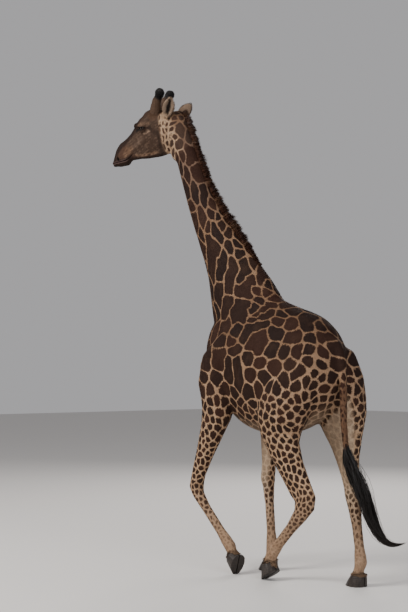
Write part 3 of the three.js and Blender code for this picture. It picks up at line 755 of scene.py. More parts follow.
# Where the patches of the left side sit in the camera's own frame of 408 by 612, as x, y pairs. Several
# pairs in one entry are one patch.
LEFT_PATCHES = [
    # the neck, from the head down
    (187, 121, 191, 130, 191, 139), (180, 131), (180, 144), (183, 156), (195, 144),
    (188, 152, 196, 154, 200, 158, 189, 160), (178, 163), (181, 168), (187, 172, 187, 178), (204, 164),
    (194, 172, 201, 170, 207, 176, 199, 178), (186, 186, 188, 194), (195, 189, 196, 198),
    (203, 189, 203, 200), (212, 186, 213, 194), (217, 199), (191, 204, 192, 208), (213, 205), (220, 206),
    (194, 216, 196, 226), (201, 213, 203, 221), (212, 213), (218, 217), (223, 213), (226, 219), (207, 227),
    (214, 231, 219, 236), (228, 233), (222, 225), (235, 228), (238, 238), (201, 236), (202, 245, 203, 254),
    (229, 248), (237, 243), (239, 253), (246, 245), (250, 251),
    (209.5, 241, 216, 247.5, 211, 258, 212, 267, 211.5, 276), (225, 257, 221.5, 267, 218.5, 276.5),
    (205, 262), (207, 273), (254, 264), (260, 259), (211, 284),
    (231.5, 262.5, 234, 271, 229, 279, 228.5, 289), (244.5, 263.5, 247, 271, 240.5, 277.5),
    (252, 279, 246, 287, 239, 292, 248, 295.5), (261, 270, 260.5, 281), (256, 291), (267, 293), (267, 285),
    (276, 288), (220, 286.5, 217, 294, 219, 303),
    # the shoulder and the withers
    (229.5, 301.5, 225.5, 306.5, 224, 312.5),
    (240, 303.5, 247, 303.5, 234.5, 310.5, 243, 311, 233.5, 317.5, 241, 318), (258.5, 301.5), (272.5, 298),
    (218, 312), (255.5, 306, 252.5, 311), (255.5, 314.5, 263, 309.5, 270.5, 305),
    (252, 320, 261, 317, 270, 312.5), (285, 306), (281, 314), (292, 311), (217, 330),
    (228, 323, 222, 328), (278.5, 321.5), (237.5, 328, 235, 333.5),
    (249, 327, 245.5, 333, 242.5, 339.5, 257, 326.5, 264, 324.5),
    (262.5, 332.5, 256, 337.5, 263, 341.5, 251, 345, 258, 350), (272, 331.5, 279.5, 333.5, 273.5, 336),
    (207, 343), (219, 342), (232, 341), (234, 351, 238, 347), (207, 356, 206, 366), (219, 354, 219, 364),
    (228, 364, 229, 374), (235, 364, 237, 373, 239, 382), (248, 358), (260, 362), (250, 376), (204, 377),
    (216, 377), (202, 388), (210, 389), (226, 389), (247, 389),
    # the flank, the rump and the top of the thigh
    (309, 318, 307, 325), (291, 325), (320, 326), (329, 326), (288, 338, 296, 335), (311, 338),
    (322, 336, 330, 338), (335, 347), (309, 350), (297, 351), (285, 351), (273, 346, 268, 353), (274, 367),
    (264, 378), (290, 364), (294, 374, 300, 371), (309, 361), (315, 373), (323, 354), (321, 362),
    (335, 363, 341, 363), (355, 361), (358, 371), (284, 380), (297, 384), (307, 382), (313, 385),
    (323, 379), (324, 389), (331, 378), (348, 371), (350, 381), (348, 388), (356, 388), (361, 380),
    (258, 387), (269, 386), (277, 388),
]


class Patches:
    """The patches of the coat: their seeds, each with its own width, length and lie."""

    def __init__(self, points, normals, width=None):
        lie, measures, _ = lie_of(points)
        across = unit(np.cross(normals, lie))
        along = unit(np.cross(across, normals))
        self.width = measures[:, 0] if width is None else width
        longer = np.sqrt(measures[:, 1])
        frames = np.stack([
            along / (self.width * longer)[:, None],
            across / (self.width / longer)[:, None],
            normals / self.width[:, None],
        ], axis=1)
        self.metric = np.einsum("nij,nik->njk", frames, frames)
        self.seeds = points
        self.patch = np.arange(len(points))

    def join(self, other, chosen):
        self.metric = np.concatenate([self.metric, other.metric[chosen]])
        self.seeds = np.concatenate([self.seeds, other.seeds[chosen]])
        self.width = np.concatenate([self.width, other.width[chosen]])
        more = np.arange(len(self.seeds) - len(self.patch)) + self.patch.max(initial=-1) + 1
        self.patch = np.concatenate([self.patch, more])

    def apart(self, points, chosen):
        """Squared distance from points to the chosen seeds, in widths of each seed's own patch."""
        gap = points[:, None] - self.seeds[chosen]
        return (np.matmul(self.metric[chosen], gap[..., None])[..., 0] * gap).sum(axis=2)

    def nearest(self, points, count):
        """The nearest seeds to each point, the nearest first, in widths of each seed's own patch."""
        found = np.zeros((len(points), count), np.int32)
        order = np.lexsort((points[:, 1] // 0.2, points[:, 0] // 0.2, points[:, 2] // 0.2))
        upper = np.triu_indices(3)
        double = np.array([1, 2, 2, 1, 2, 1])
        for part in np.array_split(order, max(1, len(points) // 500)):
            middle = points[part].mean(axis=0)
            block = points[part] - middle
            reach = np.abs(block).max(axis=0) + 0.32
            near = np.nonzero(np.all(np.abs(self.seeds - middle) < reach, axis=1))[0]
            if len(near) < count:
                near = np.argsort(np.linalg.norm(self.seeds - middle, axis=1))[:count * 2]
            seeds, metric = self.seeds[near] - middle, self.metric[near]
            pull = np.einsum("kij,kj->ki", metric, seeds)
            away = (block[:, upper[0]] * block[:, upper[1]] * double) @ metric[:, upper[0], upper[1]].T
            away += (pull * seeds).sum(axis=1) - 2 * block @ pull.T
            if len(near) > count:
                best = np.argpartition(away, count - 1, axis=1)[:, :count]
            else:
                best = np.broadcast_to(np.arange(len(near)), away.shape)
            rank = np.take_along_axis(away, best, axis=1).argsort(axis=1)
            found[part] = near[np.take_along_axis(best, rank, axis=1)]
        return found

    def edge(self, points, chosen):
        """How far each point is from the middle of the nearest line, the corners of a patch rounded."""
        gap = points[:, None] - self.seeds[chosen]
        pull = np.matmul(self.metric[chosen], gap[..., None])[..., 0]
        away = (pull * gap).sum(axis=2)
        clear = (away[:, 1:] - away[:, :1]) / (2 * np.linalg.norm(pull[:, 1:] - pull[:, :1], axis=2) + 1e-9)
        clear = np.where(self.patch[chosen[:, 1:]] == self.patch[chosen[:, :1]], 9.0, clear)
        soft = 0.055 * self.width[chosen[:, :1]]
        least = clear.min(axis=1, keepdims=True)
        return (least - soft * np.log(np.exp(-(clear - least) / soft).sum(axis=1, keepdims=True)))[:, 0]


def seen_patches(skin):
    """The seeds of the left side, found on the skin along the camera's line to each."""
    tree = tree_of(skin.data)
    points, normals, patch = [], [], []
    for number, places in enumerate(LEFT_PATCHES):
        for x, y in zip(places[::2], places[1::2]):
            ray = view_line(x, y)
            at, normal, _, _ = tree.ray_cast(Vector(CAMERA_AT), ray)
            if at is not None and abs(normal.dot(ray)) > 0.12:
                points.append(at)
                normals.append(normal)
                patch.append(number)
    points, normals, patch = np.array(points), np.array(normals), np.array(patch)
    gap = np.linalg.norm(points[:, None] - points, axis=2)
    spacing = np.sort(gap + 9 * (patch[:, None] == patch), axis=1)[:, :4].mean(axis=1)
    usual = lie_of(points)[1][:, 0]
    swell = (spacing / usual)[np.argsort(gap, axis=1)[:, :7]].mean(axis=1)
    patches = Patches(points, normals, usual * np.clip(swell, 0.75, 1.4))
    patches.patch = patch
    return patches


THROWN_SEEDS = 40000
LEAST_GAP = 0.72  # between two thrown seeds: its square, in widths of a patch
EVEN_ROUNDS, EVEN_STEP = 2, 0.6


def kept_apart(thrown, free):
    """Which thrown seeds stay: the free ones, unless one falls too close to another that stays."""
    points, widths = thrown.seeds, thrown.width.tolist()
    tree = KDTree(len(points))
    for i, point in enumerate(points.tolist()):
        tree.insert(point, i)
    tree.balance()
    taken = np.zeros(len(free), bool)
    for i in np.flatnonzero(free):
        near = np.array([found[1] for found in tree.find_range(points[i].tolist(), widths[i] * 1.2)])
        near = near[taken[near]]
        gap = points[near] - points[i]
        taken[i] = not (((gap @ thrown.metric[i]) * gap).sum(axis=1) < LEAST_GAP).any()
    return np.flatnonzero(taken)


def even_out(patches, given, points):
    """Moves each seed but the given ones towards the middle of the points that are nearest to it."""
    total = len(patches.seeds)
    for _ in range(EVEN_ROUNDS):
        home = patches.nearest(points, 1)[:, 0]
        size = np.bincount(home, minlength=total)[:, None]
        middle = np.column_stack([np.bincount(home, points[:, k], total) for k in range(3)])
        move = middle / np.maximum(size, 1) - patches.seeds
        move[:given] = 0
        patches.seeds = patches.seeds + EVEN_STEP * np.where(size > 3, move, 0)


def lay_patches(skin, rng):
    """The seeds of the left side, with seeds thrown on the rest of the skin and then evened out."""
    patches = seen_patches(skin)
    given = len(patches.seeds)
    co, triangles = points_of(skin.data), triangles_of(skin.data)
    weight = 1 / np.maximum(lie_of(co)[1][:, 0], 0.02) ** 2
    points, chosen, _ = scatter(co, triangles, THROWN_SEEDS, rng, weight)
    corners = co[triangles[chosen]]
    normals = unit(np.cross(corners[:, 1] - corners[:, 0], corners[:, 2] - corners[:, 0]))
    thrown = Patches(points, normals)
    free = patches.apart(points, patches.nearest(points, 1))[:, 0] > 1.0
    patches.join(thrown, kept_apart(thrown, free))
    even_out(patches, given, points)
    patches.tone = rng.random(patches.patch.max() + 1)
    return patches


skin = shape_skin()
sculpt_body(skin)
add_ears(skin)
sculpt_head(skin)
thin_skin(skin, SKIN_FACES)
rng = np.random.default_rng(SEED)
patches = lay_patches(skin, rng)


# ---------------------------------------------------------------- the pattern laid on the skin
def drifted(co):
    """Where a point of the skin falls on the pattern, which wanders a little."""
    return co + wander(co, 0.22, 3) * 0.010 + wander(co, 0.07, 4) * 0.004


def cut_along_patches(skin, patches):
    """New vertices where one patch meets the next, so that the lines between them stay whole."""
    co, triangles = points_of(skin.data), triangles_of(skin.data).astype(np.int64)
    where = drifted(co)
    seed = patches.nearest(where, 1)[:, 0]
    label = patches.patch[seed]
    pairs = np.sort(triangles[:, [0, 1, 1, 2, 2, 0]].reshape(-1, 2), axis=1)
    pairs = np.unique(pairs[label[pairs[:, 0]] != label[pairs[:, 1]]], axis=0)
    both = seed[pairs]
    at_first = patches.apart(where[pairs[:, 0]], both)
    at_second = patches.apart(where[pairs[:, 1]], both)
    lead = np.maximum(at_first[:, 1] - at_first[:, 0], 0)
    lag = np.maximum(at_second[:, 0] - at_second[:, 1], 0)
    t = np.clip(lead / np.maximum(lead + lag, 1e-12), 0.08, 0.92)[:, None]
    cuts = co[pairs[:, 0]] * (1 - t) + co[pairs[:, 1]] * t
    keys = pairs[:, 0] * len(co) + pairs[:, 1]

    def cut_on(a, b):
        return len(co) + np.searchsorted(keys, np.minimum(a, b) * len(co) + np.maximum(a, b))

    corner = label[triangles]
    differ = corner != np.roll(corner, -1, axis=1)
    count = differ.sum(axis=1)
    made, owner = [triangles[count == 0]], [corner[count == 0, 0]]
    for lone in range(3):
        chosen = (count == 2) & ~differ[:, (lone + 1) % 3]
        a, b, c = (triangles[chosen, (lone + k) % 3] for k in range(3))
        ab, ac = cut_on(a, b), cut_on(a, c)
        made += [np.column_stack([a, ab, ac]), np.column_stack([ab, b, c]), np.column_stack([ab, c, ac])]
        owner += [label[a], label[b], label[b]]
    chosen = count == 3
    a, b, c = triangles[chosen].T
    middle = len(co) + len(cuts) + np.arange(len(a))
    ab, bc, ca = cut_on(a, b), cut_on(b, c), cut_on(c, a)
    for p, q, r in ((a, ab, ca), (b, bc, ab), (c, ca, bc)):
        made += [np.column_stack([p, q, middle]), np.column_stack([p, middle, r])]
        owner += [label[p], label[p]]
    co = np.vstack([co, cuts, co[triangles[chosen]].mean(axis=1)])
    old, skin.data = skin.data, mesh_of("skin", co, np.vstack(made))
    bpy.data.meshes.remove(old)
    return drifted(co), np.concatenate(owner)


where, owner = cut_along_patches(skin, patches)


# ---------------------------------------------------------------- colours laid on the skin
BACK_LINE, FLANK_LINE, NECK_LINE = (0.168, 0.095, 0.053), (0.325, 0.205, 0.124), (0.150, 0.092, 0.062)
THIGH_LINE, SHANK, CREAM = (0.400, 0.262, 0.158), (0.290, 0.190, 0.120), (0.440, 0.330, 0.230)
BACK_PATCH, FLANK_PATCH = (0.0130, 0.0064, 0.0048), (0.0180, 0.0086, 0.0060)
SHANK_PATCH, CHEEK_PATCH = (0.050, 0.027, 0.017), (0.042, 0.024, 0.017)
TAIL_BROWN, BLACK_HAIR_AND_HOLLOW_SHADE = (0.115, 0.060, 0.034), (0.012, 0.009, 0.008)
NOSE_BROWN_AND_BROW_SHADOW, CHEEK, DARK_BROWN_AND_JAW_SHADOW = (0.019, 0.010, 0.007), (0.048, 0.029, 0.020), (0.024, 0.014, 0.010)
CHEEK_TAN, CROWN, HORN_ROOT = (0.130, 0.088, 0.064), (0.044, 0.025, 0.017), (0.062, 0.034, 0.021)
BROW_BUFF, UNDER_EYE, STRIPE = (0.165, 0.102, 0.066), (0.420, 0.285, 0.200), (0.235, 0.142, 0.088)
MUZZLE, LIP, LIP_RIM = (0.058, 0.030, 0.019), (0.090, 0.055, 0.050), (0.010, 0.007, 0.006)
NAPE_PALE, NAPE_BROWN, FLECK = (0.350, 0.240, 0.155), (0.110, 0.066, 0.043), (0.105, 0.068, 0.048)
EAR_PALE, EAR_BACK = (0.285, 0.212, 0.158), (0.225, 0.155, 0.108)


def lay(colour, new, mask):
    """One colour brushed over another where the mask says."""
    return colour + (np.asarray(new, float) - colour) * np.clip(mask, 0, 1)[:, None]


def stroke(flat, run, radius, soft):
    """A mask that is 1 within a radius of a run of stretches, and fades out softly past it."""
    return smooth_step(radius + soft, radius - soft, to_run(flat, run)[0])


def all_over(colour, co):
    """One row of the same colour for each point."""
    return np.tile(np.array(colour), (len(co), 1))


def body_colours(co, normals, drift):
    """Ground, patch and fade of the trunk, neck, legs and tail."""
    _, _, shares = lie_of(co)
    neck, tail = share_of(shares, "neck"), share_of(shares, "tail")
    legs = share_of(shares, "hind", "fore")
    up = co[:, 2]
    on_back = 1 - 0.40 * neck * smooth_step(3.9, 2.8, up)
    ground = all_over(FLANK_LINE, co)
    ground = lay(ground, BACK_LINE, smooth_step(1.75, 2.35, up + 0.08 * drift) * on_back)
    ground = lay(ground, NECK_LINE, neck * smooth_step(3.2, 4.0, up + 0.08 * drift))
    ground = lay(ground, THIGH_LINE, smooth_step(1.75, 1.35, up) * legs)
    ground = lay(ground, SHANK, smooth_step(0.95, 0.55, up + 0.05 * drift))
    patch = all_over(FLANK_PATCH, co)
    patch = lay(patch, BACK_PATCH, smooth_step(1.8, 2.3, up))
    patch = lay(patch, SHANK_PATCH, smooth_step(1.05, 0.45, up))
    fade = 1 - 0.80 * smooth_step(0.62, 0.10, up + 0.05 * drift)
    # The inner sides of the legs and the groin are pale and almost plain.
    middle = np.where(legs > 0.4, np.sign(co[:, 0]), 0) * smooth_step(0.4, 0.6, legs)
    inner = smooth_step(0.45, 0.85, -middle * normals[:, 0]) * smooth_step(2.05, 1.75, up)
    under = smooth_step(-0.55, -0.9, normals[:, 2]) * (up > 1.2) * (up < 2.0)
    inner = np.maximum(inner, 0.8 * under)
    ground = lay(ground, CREAM, 0.8 * inner * smooth_step(0.4, 0.9, up))
    fade = fade * (1 - 0.72 * inner * smooth_step(0.7, 1.0, up))
    # The tail is brown below its root.
    ground = lay(ground, TAIL_BROWN, smooth_step(0.45, 0.75, tail) * smooth_step(2.0, 1.75, up))
    return ground, patch, fade


# Strokes of colour on the face, in the order in which they are laid: the colour, how strong it is, how
# much the flecks add, its run along the face and up it, its half width and its soft edge.
FACE_STROKES = [
    # The first two strokes are painted shadow down the back edge of the jaw.
    (DARK_BROWN_AND_JAW_SHADOW, 0.85, 0, [(0.186, 0.217), (0.230, 0.160), (0.262, 0.097), (0.246, 0.021)], 0.020, 0.014),
    (DARK_BROWN_AND_JAW_SHADOW, 0.80, 0, [(0.215, 0.015), (0.262, -0.060), (0.335, -0.160)], 0.018, 0.014),
    (CHEEK_TAN, 0.55, 0.30, [(0.390, 0.098), (0.460, 0.090), (0.540, 0.092)], 0.014, 0.024),
    (STRIPE, 0.36, 0.34, [(0.565, 0.102), (0.610, 0.100), (0.665, 0.080)], 0.020, 0.024),
    (STRIPE, 0.28, 0.20, [(0.600, 0.140), (0.672, 0.110)], 0.006, 0.012),
    (STRIPE, 0.28, 0.20, [(0.560, 0.090), (0.600, 0.080), (0.648, 0.054)], 0.006, 0.012),
    (UNDER_EYE, 0.45, 0.25, [(0.350, 0.104), (0.318, 0.094), (0.290, 0.088)], 0.008, 0.015),
]
BROW_STROKE = [(0.340, 0.208), (0.300, 0.190), (0.245, 0.152)]
# The dark band along the upper lid: dark skin and lashes, with painted shadow under the brow.
LASH_BAND_AND_BROW_SHADOW = [(0.392, 0.240), (0.362, 0.200), (0.330, 0.162), (0.290, 0.130), (0.272, 0.106)]
NAPE_STROKE = [(0.180, 0.054), (0.158, 0.038)]
# The outline of the face from the side, along it and up it: its top, its bottom, and the edge of the jaw
# behind which the pale nape begins, up it and along it.
FACE_TOP = (
    [0.13, 0.22, 0.31, 0.40, 0.49, 0.575, 0.65, 0.72, 0.785, 0.85],
    [0.25, 0.300, 0.292, 0.262, 0.236, 0.226, 0.230, 0.208, 0.174, 0.12],
)
FACE_BOTTOM = (
    [0.22, 0.31, 0.40, 0.49, 0.575, 0.65, 0.72, 0.785],
    [-0.243, -0.196, -0.152, -0.102, -0.038, 0.010, 0.012, 0.038],
)
NAPE_EDGE = ([-0.20, -0.10, 0.02, 0.108, 0.20], [0.300, 0.258, 0.190, 0.125, 0.120])


def face_colour(face, drift, flecks):
    """The colour of the face in front of the pale nape."""
    x, y, z = face.T
    flat = face[:, [0, 2]]
    top, bottom = np.interp(x, *FACE_TOP), np.interp(x, *FACE_BOTTOM)
    colour = all_over(CHEEK, face)
    colour = lay(colour, FLECK, 0.75 * smooth_step(0.15, 0.75, flecks) * smooth_step(0.235, 0.215, z))
    colour = lay(colour, MUZZLE, smooth_step(0.56, 0.62, x))
    # The first strokes are painted shadow behind the jaw; the rest are marks of the coat.
    for new, strong, flecked, run, radius, soft in FACE_STROKES:
        colour = lay(colour, new, (strong + flecked * flecks) * stroke(flat, run, radius, soft))
    colour = lay(colour, CROWN, smooth_step(0.36, 0.26, x) * smooth_step(0.205, 0.245, z))
    colour = lay(colour, BROW_BUFF, (0.55 + 0.35 * flecks) * stroke(flat, BROW_STROKE, 0.014, 0.022))
    bridge = smooth_step(0.070, 0.044, top - z + 0.008 * drift + 0.006 * flecks)
    colour = lay(colour, NOSE_BROWN_AND_BROW_SHADOW, bridge * smooth_step(0.26, 0.36, x))
    jaw_line = smooth_step(0.022, 0.010, np.abs(z - bottom - 0.046)) * (x > 0.36) * (x < 0.58)
    colour = lay(colour, STRIPE, (0.40 + 0.2 * flecks) * jaw_line)
    colour = lay(colour, DARK_BROWN_AND_JAW_SHADOW, smooth_step(0.040, 0.015, z - bottom) * smooth_step(0.28, 0.34, x))
    colour = lay(colour, NOSE_BROWN_AND_BROW_SHADOW, smooth_step(0.755, 0.800, x + 0.35 * (z - 0.12)))
    # The lips, the nostril and the rims of the lids.
    away, _ = to_run(flat, MOUTH)
    lips = smooth_step(0.59, 0.63, x)
    colour = lay(colour, NOSE_BROWN_AND_BROW_SHADOW, 0.75 * lips * smooth_step(0.032, 0.020, away))
    colour = lay(colour, LIP, 0.8 * lips * smooth_step(0.017, 0.009, away) * smooth_step(0.66, 0.70, x))
    colour = lay(colour, LIP_RIM, lips * smooth_step(0.0062, 0.0030, away))
    gap = np.linalg.norm((flat - np.array(NOSTRIL_AT)) / [0.020, 0.030], axis=1)
    colour = lay(colour, LIP_RIM, 0.85 * smooth_step(1.0, 0.65, gap) * (y > 0.02))
    far, _, past = eye_view(face)
    # A dark band through the eye: dark skin round the lids, with painted shadow under the brow.
    colour = lay(colour, NOSE_BROWN_AND_BROW_SHADOW, (far < 0.11) * stroke(flat, LASH_BAND_AND_BROW_SHADOW, 0.010, 0.009))
    return lay(colour, BLACK_HAIR_AND_HOLLOW_SHADE, (far < 0.11) * smooth_step(0.0100, 0.0040, past))


def add_head_colours(co, drift, ground, patch, fade):
    """Lays the colours of the face and the nape over those of the body."""
    face, _ = folded(co)
    x, y, z = face.T
    on_head = smooth_step(-0.12, 0.0, x + 0.2 * (z + 0.1)) * (y < 0.16) * (z > -0.32) * (co[:, 2] > 3.5)
    behind = smooth_step(0.014, -0.014, x - np.interp(z, *NAPE_EDGE) + 0.006 * drift)
    flecks = wander(face * [1.0, 1.0, 2.2], 0.050, 5)[:, 0]
    flecks = flecks + 0.7 * wander(face * [1.0, 1.0, 1.8], 0.022, 6)[:, 0]
    colour = face_colour(face, drift, flecks)
    nape = lay(all_over(NAPE_PALE, co), DARK_BROWN_AND_JAW_SHADOW, stroke(face[:, [0, 2]], NAPE_STROKE, 0.011, 0.007))
    mottle = smooth_step(0.1, 0.8, wander(face * [1, 1, 0.35], 0.030, 11)[:, 0])
    nape = lay(nape, NAPE_BROWN, 0.75 * mottle)
    colour = lay(colour, nape, behind * smooth_step(0.30, 0.22, z))
    colour = lay(colour, HORN_ROOT, smooth_step(0.090, 0.066, to_run(face, HORN_LINE)[0]))
    onto_neck = smooth_step(0.09, 0.00, x + 0.25 * z) * (y < 0.16)
    ground = lay(ground, colour, on_head * (1 - onto_neck))
    dots = 0.45 * smooth_step(0.34, 0.28, np.abs(x - 0.30)) * smooth_step(0.10, 0.05, z)
    dots = dots * smooth_step(0.60, 0.50, x)
    fade = fade * (1 - on_head) + (behind + (1 - behind) * dots) * on_head
    return ground, lay(patch, CHEEK_PATCH, on_head), fade


def add_ear_colours(co, normals, ground, fade):
    """The ears are pale inside with a dark streak of hair and painted shade down the hollow, a dark rim, and
    tan behind.
    """
    ear, length, wide, _, opening = ear_view(co)
    inside = smooth_step(-0.1, 0.3, (normals * opening).sum(axis=1))
    ruffle = wander(co, 0.03, 9)[:, 0]
    shell = lay(all_over(EAR_BACK, co), EAR_PALE, inside)
    shell = lay(shell, DARK_BROWN_AND_JAW_SHADOW, 0.85 * (1 - inside) * smooth_step(0.35, 0.0, length))
    # The streak inside the ear is dark hair and painted shade in its hollow.
    streak = smooth_step(0.52, 0.24, np.abs(wide + 0.06 + 0.16 * ruffle))
    streak = streak * smooth_step(0.08, 0.2, length) * smooth_step(0.98, 0.80, length)
    shell = lay(shell, BLACK_HAIR_AND_HOLLOW_SHADE, inside * streak)
    rim = smooth_step(0.80, 0.97, np.abs(wide) - 0.04 * ruffle) * np.where(wide > 0, 1, 0.35)
    shell = lay(shell, DARK_BROWN_AND_JAW_SHADOW, np.maximum(rim, smooth_step(0.90, 0.98, length)))
    return lay(ground, shell, ear), fade * (1 - ear)


def colours_at(co, normals):
    """Ground colour, patch colour, and how strongly the patches show, at points of the skin."""
    drift = wander(co, 0.35, 8)[:, 0]
    ground, patch, fade = body_colours(co, normals, drift)
    ground, patch, fade = add_head_colours(co, drift, ground, patch, fade)
    ground, fade = add_ear_colours(co, normals, ground, fade)
    return ground, patch, fade


# The folds of the flank where a pale line shows broader, in the camera's own frame: the first is a broad line
# of the coat; the other two, in the crease between the thigh and the tail's root, are painted highlights.
BROAD_LINES_AND_HIGHLIGHTS = [
    [(241.5, 352), (243, 364), (245.5, 378)],
    [(317, 354), (314.5, 366), (308, 373)],
    [(324, 360), (320, 371)],
]
BROADER, BROAD_REACH = 0.0085, 0.035


def broadened_and_highlit(skin, co):
    """How much broader the half line is at each point; by the tail's root this is a painted highlight."""
    tree = tree_of(skin.data)
    more = np.zeros(len(co))
    for run in BROAD_LINES_AND_HIGHLIGHTS:
        places = [tree.ray_cast(Vector(CAMERA_AT), view_line(x, y))[0] for x, y in run]
        more = np.maximum(more, BROADER * bump(to_run(co, places)[0], 0, BROAD_REACH))
    return more


def mark_skin(skin, patches, where, owner):
    """The markings as attributes of the skin, which its finish and the tufts' finish both read."""
    co, normals = points_of(skin.data), points_of(skin.data, "normal")
    half_line = lie_of(co)[1][:, 2]
    # The half line is made broader in places; by the tail's root this is a painted highlight.
    edge = patches.edge(where, patches.nearest(where, 7)) - half_line - broadened_and_highlit(skin, co)
    ground, patch, fade = colours_at(co, normals)
    values = {"edge": edge, "ground": ground, "patch": patch, "fade": fade}
    for name, value in values.items():
        give(skin.data, name, value)
    give(skin.data, "tone", patches.tone[owner], "FACE")
    return values


SKIN_VALUES = mark_skin(skin, patches, where, owner)


# ---------------------------------------------------------------- the coat's finish
def node(tree, kind, **settings):
    made = tree.nodes.new("ShaderNode" + kind)
    for name, value in settings.items():
        setattr(made, name, value)
    return made


def noise(tree, scale, detail=2.0, rough=0.5):
    """Noise on the model's own coordinates."""
    spot = node(tree, "TexCoord")
    grain = node(tree, "TexNoise")
    grain.inputs["Scale"].default_value = scale
    grain.inputs["Detail"].default_value = detail
    grain.inputs["Roughness"].default_value = rough
    tree.links.new(spot.outputs["Object"], grain.inputs["Vector"])
    return grain.outputs["Fac"]


def ramp(tree, value, low, high, out_low=0.0, out_high=1.0, smooth=False):
    """A value taken from the span low to high onto another span, and held at its ends."""
    span = node(tree, "MapRange", interpolation_type="SMOOTHSTEP" if smooth else "LINEAR")
    for name, number in (("From Min", low), ("From Max", high), ("To Min", out_low), ("To Max", out_high)):
        span.inputs[name].default_value = number
    tree.links.new(value, span.inputs["Value"])
    return span.outputs["Result"]


def reckon(tree, kind, *values):
    made = node(tree, "Math", operation=kind)
    for socket, value in zip(made.inputs, values):
        if isinstance(value, (int, float)):
            socket.default_value = value
        else:
            tree.links.new(value, socket)
    return made.outputs[0]


def blended(tree, share, low, high, kind="MIX"):
    """Two colours mixed, or multiplied, by a share; each may be a socket, a number or a colour."""
    made = node(tree, "Mix", data_type="RGBA", blend_type=kind)
    for socket, value in ((made.inputs[0], share), (made.inputs[6], low), (made.inputs[7], high)):
        if isinstance(value, (int, float)):
            socket.default_value = value
        elif isinstance(value, tuple):
            socket.default_value = (*value, 1)
        else:
            tree.links.new(value, socket)
    return made.outputs[2]


def new_group(name, inputs, outputs):
    tree = bpy.data.node_groups.new(name, "ShaderNodeTree")
    for label, kind in inputs:
        tree.interface.new_socket(label, in_out="INPUT", socket_type="NodeSocket" + kind)
    for label, kind in outputs:
        tree.interface.new_socket(label, in_out="OUTPUT", socket_type="NodeSocket" + kind)
    return tree, tree.nodes.new("NodeGroupInput").outputs, tree.nodes.new("NodeGroupOutput").inputs


PATCH_RED, PATCH_CLOUD, PATCH_HEART = (0.052, 0.019, 0.0105), (0.060, 0.030, 0.017), (0.040, 0.022, 0.015)
GROUND_SHADE, TIP_LIGHT = (0.62, 0.54, 0.48), (1.45, 1.40, 1.35)


def coat_pattern():
    """Ground and patch colours, with the uneven edge, the tone of each patch and the mottle of the hair."""
    inputs = [("Ground", "Color"), ("Patch", "Color")]
    inputs += [(name, "Float") for name in ("Edge", "Fade", "Tone")]
    tree, given, out = new_group("coat_pattern", inputs, [("Color", "Color")])
    ragged = reckon(tree, "SUBTRACT", noise(tree, 34, 3, 0.6), 0.5)
    fine = reckon(tree, "SUBTRACT", noise(tree, 300, 2, 0.6), 0.5)
    edge = reckon(tree, "MULTIPLY_ADD", ragged, 0.010, given["Edge"])
    edge = reckon(tree, "MULTIPLY_ADD", fine, 0.005, edge)
    inside = ramp(tree, edge, -0.0022, 0.0022, smooth=True)
    cloudy = ramp(tree, noise(tree, 7, 4, 0.55), 0.48, 0.72)
    patch = blended(tree, ramp(tree, given["Tone"], 0.25, 1.0, 0.0, 0.40), given["Patch"], PATCH_RED)
    patch = blended(tree, reckon(tree, "MULTIPLY", cloudy, 0.32), patch, PATCH_CLOUD)
    patch = blended(tree, reckon(tree, "MULTIPLY", ramp(tree, edge, 0.0, 0.045), 0.12), patch, PATCH_HEART)
    shaded = blended(tree, 1.0, given["Ground"], GROUND_SHADE, "MULTIPLY")
    ground = blended(tree, ramp(tree, noise(tree, 16, 3), 0.35, 0.75, 0.0, 0.55), given["Ground"], shaded)
    colour = blended(tree, reckon(tree, "MULTIPLY", inside, given["Fade"]), ground, patch)
    mottle = ramp(tree, noise(tree, 85, 3, 0.65), 0.25, 0.75, 0.74, 1.22)
    grey = node(tree, "CombineColor")
    for socket in grey.inputs[:3]:
        tree.links.new(mottle, socket)
    tree.links.new(blended(tree, 1.0, colour, grey.outputs[0], "MULTIPLY"), out["Color"])
    return tree


def hair_relief():
    """Height of short lying hair, for bump."""
    tree, _, out = new_group("hair_relief", [], [("Height", "Float")])
    fine = noise(tree, 420, 3, 0.7)
    broad = noise(tree, 60, 3, 0.6)
    tree.links.new(reckon(tree, "MULTIPLY_ADD", broad, 1.6, fine), out["Height"])
    return tree


PATTERN, RELIEF = coat_pattern(), hair_relief()


def grouped(tree, group):
    made = tree.nodes.new("ShaderNodeGroup")
    made.node_tree = group
    return made


def attribute(tree, name, kind="Fac"):
    return node(tree, "Attribute", attribute_name=name).outputs[kind]


def start_material(name, rough, **settings):
    material = bpy.data.materials.new(name)
    material.use_nodes = True
    tree = material.node_tree
    shader = tree.nodes["Principled BSDF"]
    shader.inputs["Roughness"].default_value = rough
    for key, value in settings.items():
        shader.inputs[key.replace("_", " ")].default_value = value
    return material, tree, shader


def roughen(tree, shader, height, distance, strength=0.5):
    """Bump on a finish, from a height."""
    relief = node(tree, "Bump")
    relief.inputs["Distance"].default_value = distance
    relief.inputs["Strength"].default_value = strength
    tree.links.new(height, relief.inputs["Height"])
    tree.links.new(relief.outputs["Normal"], shader.inputs["Normal"])


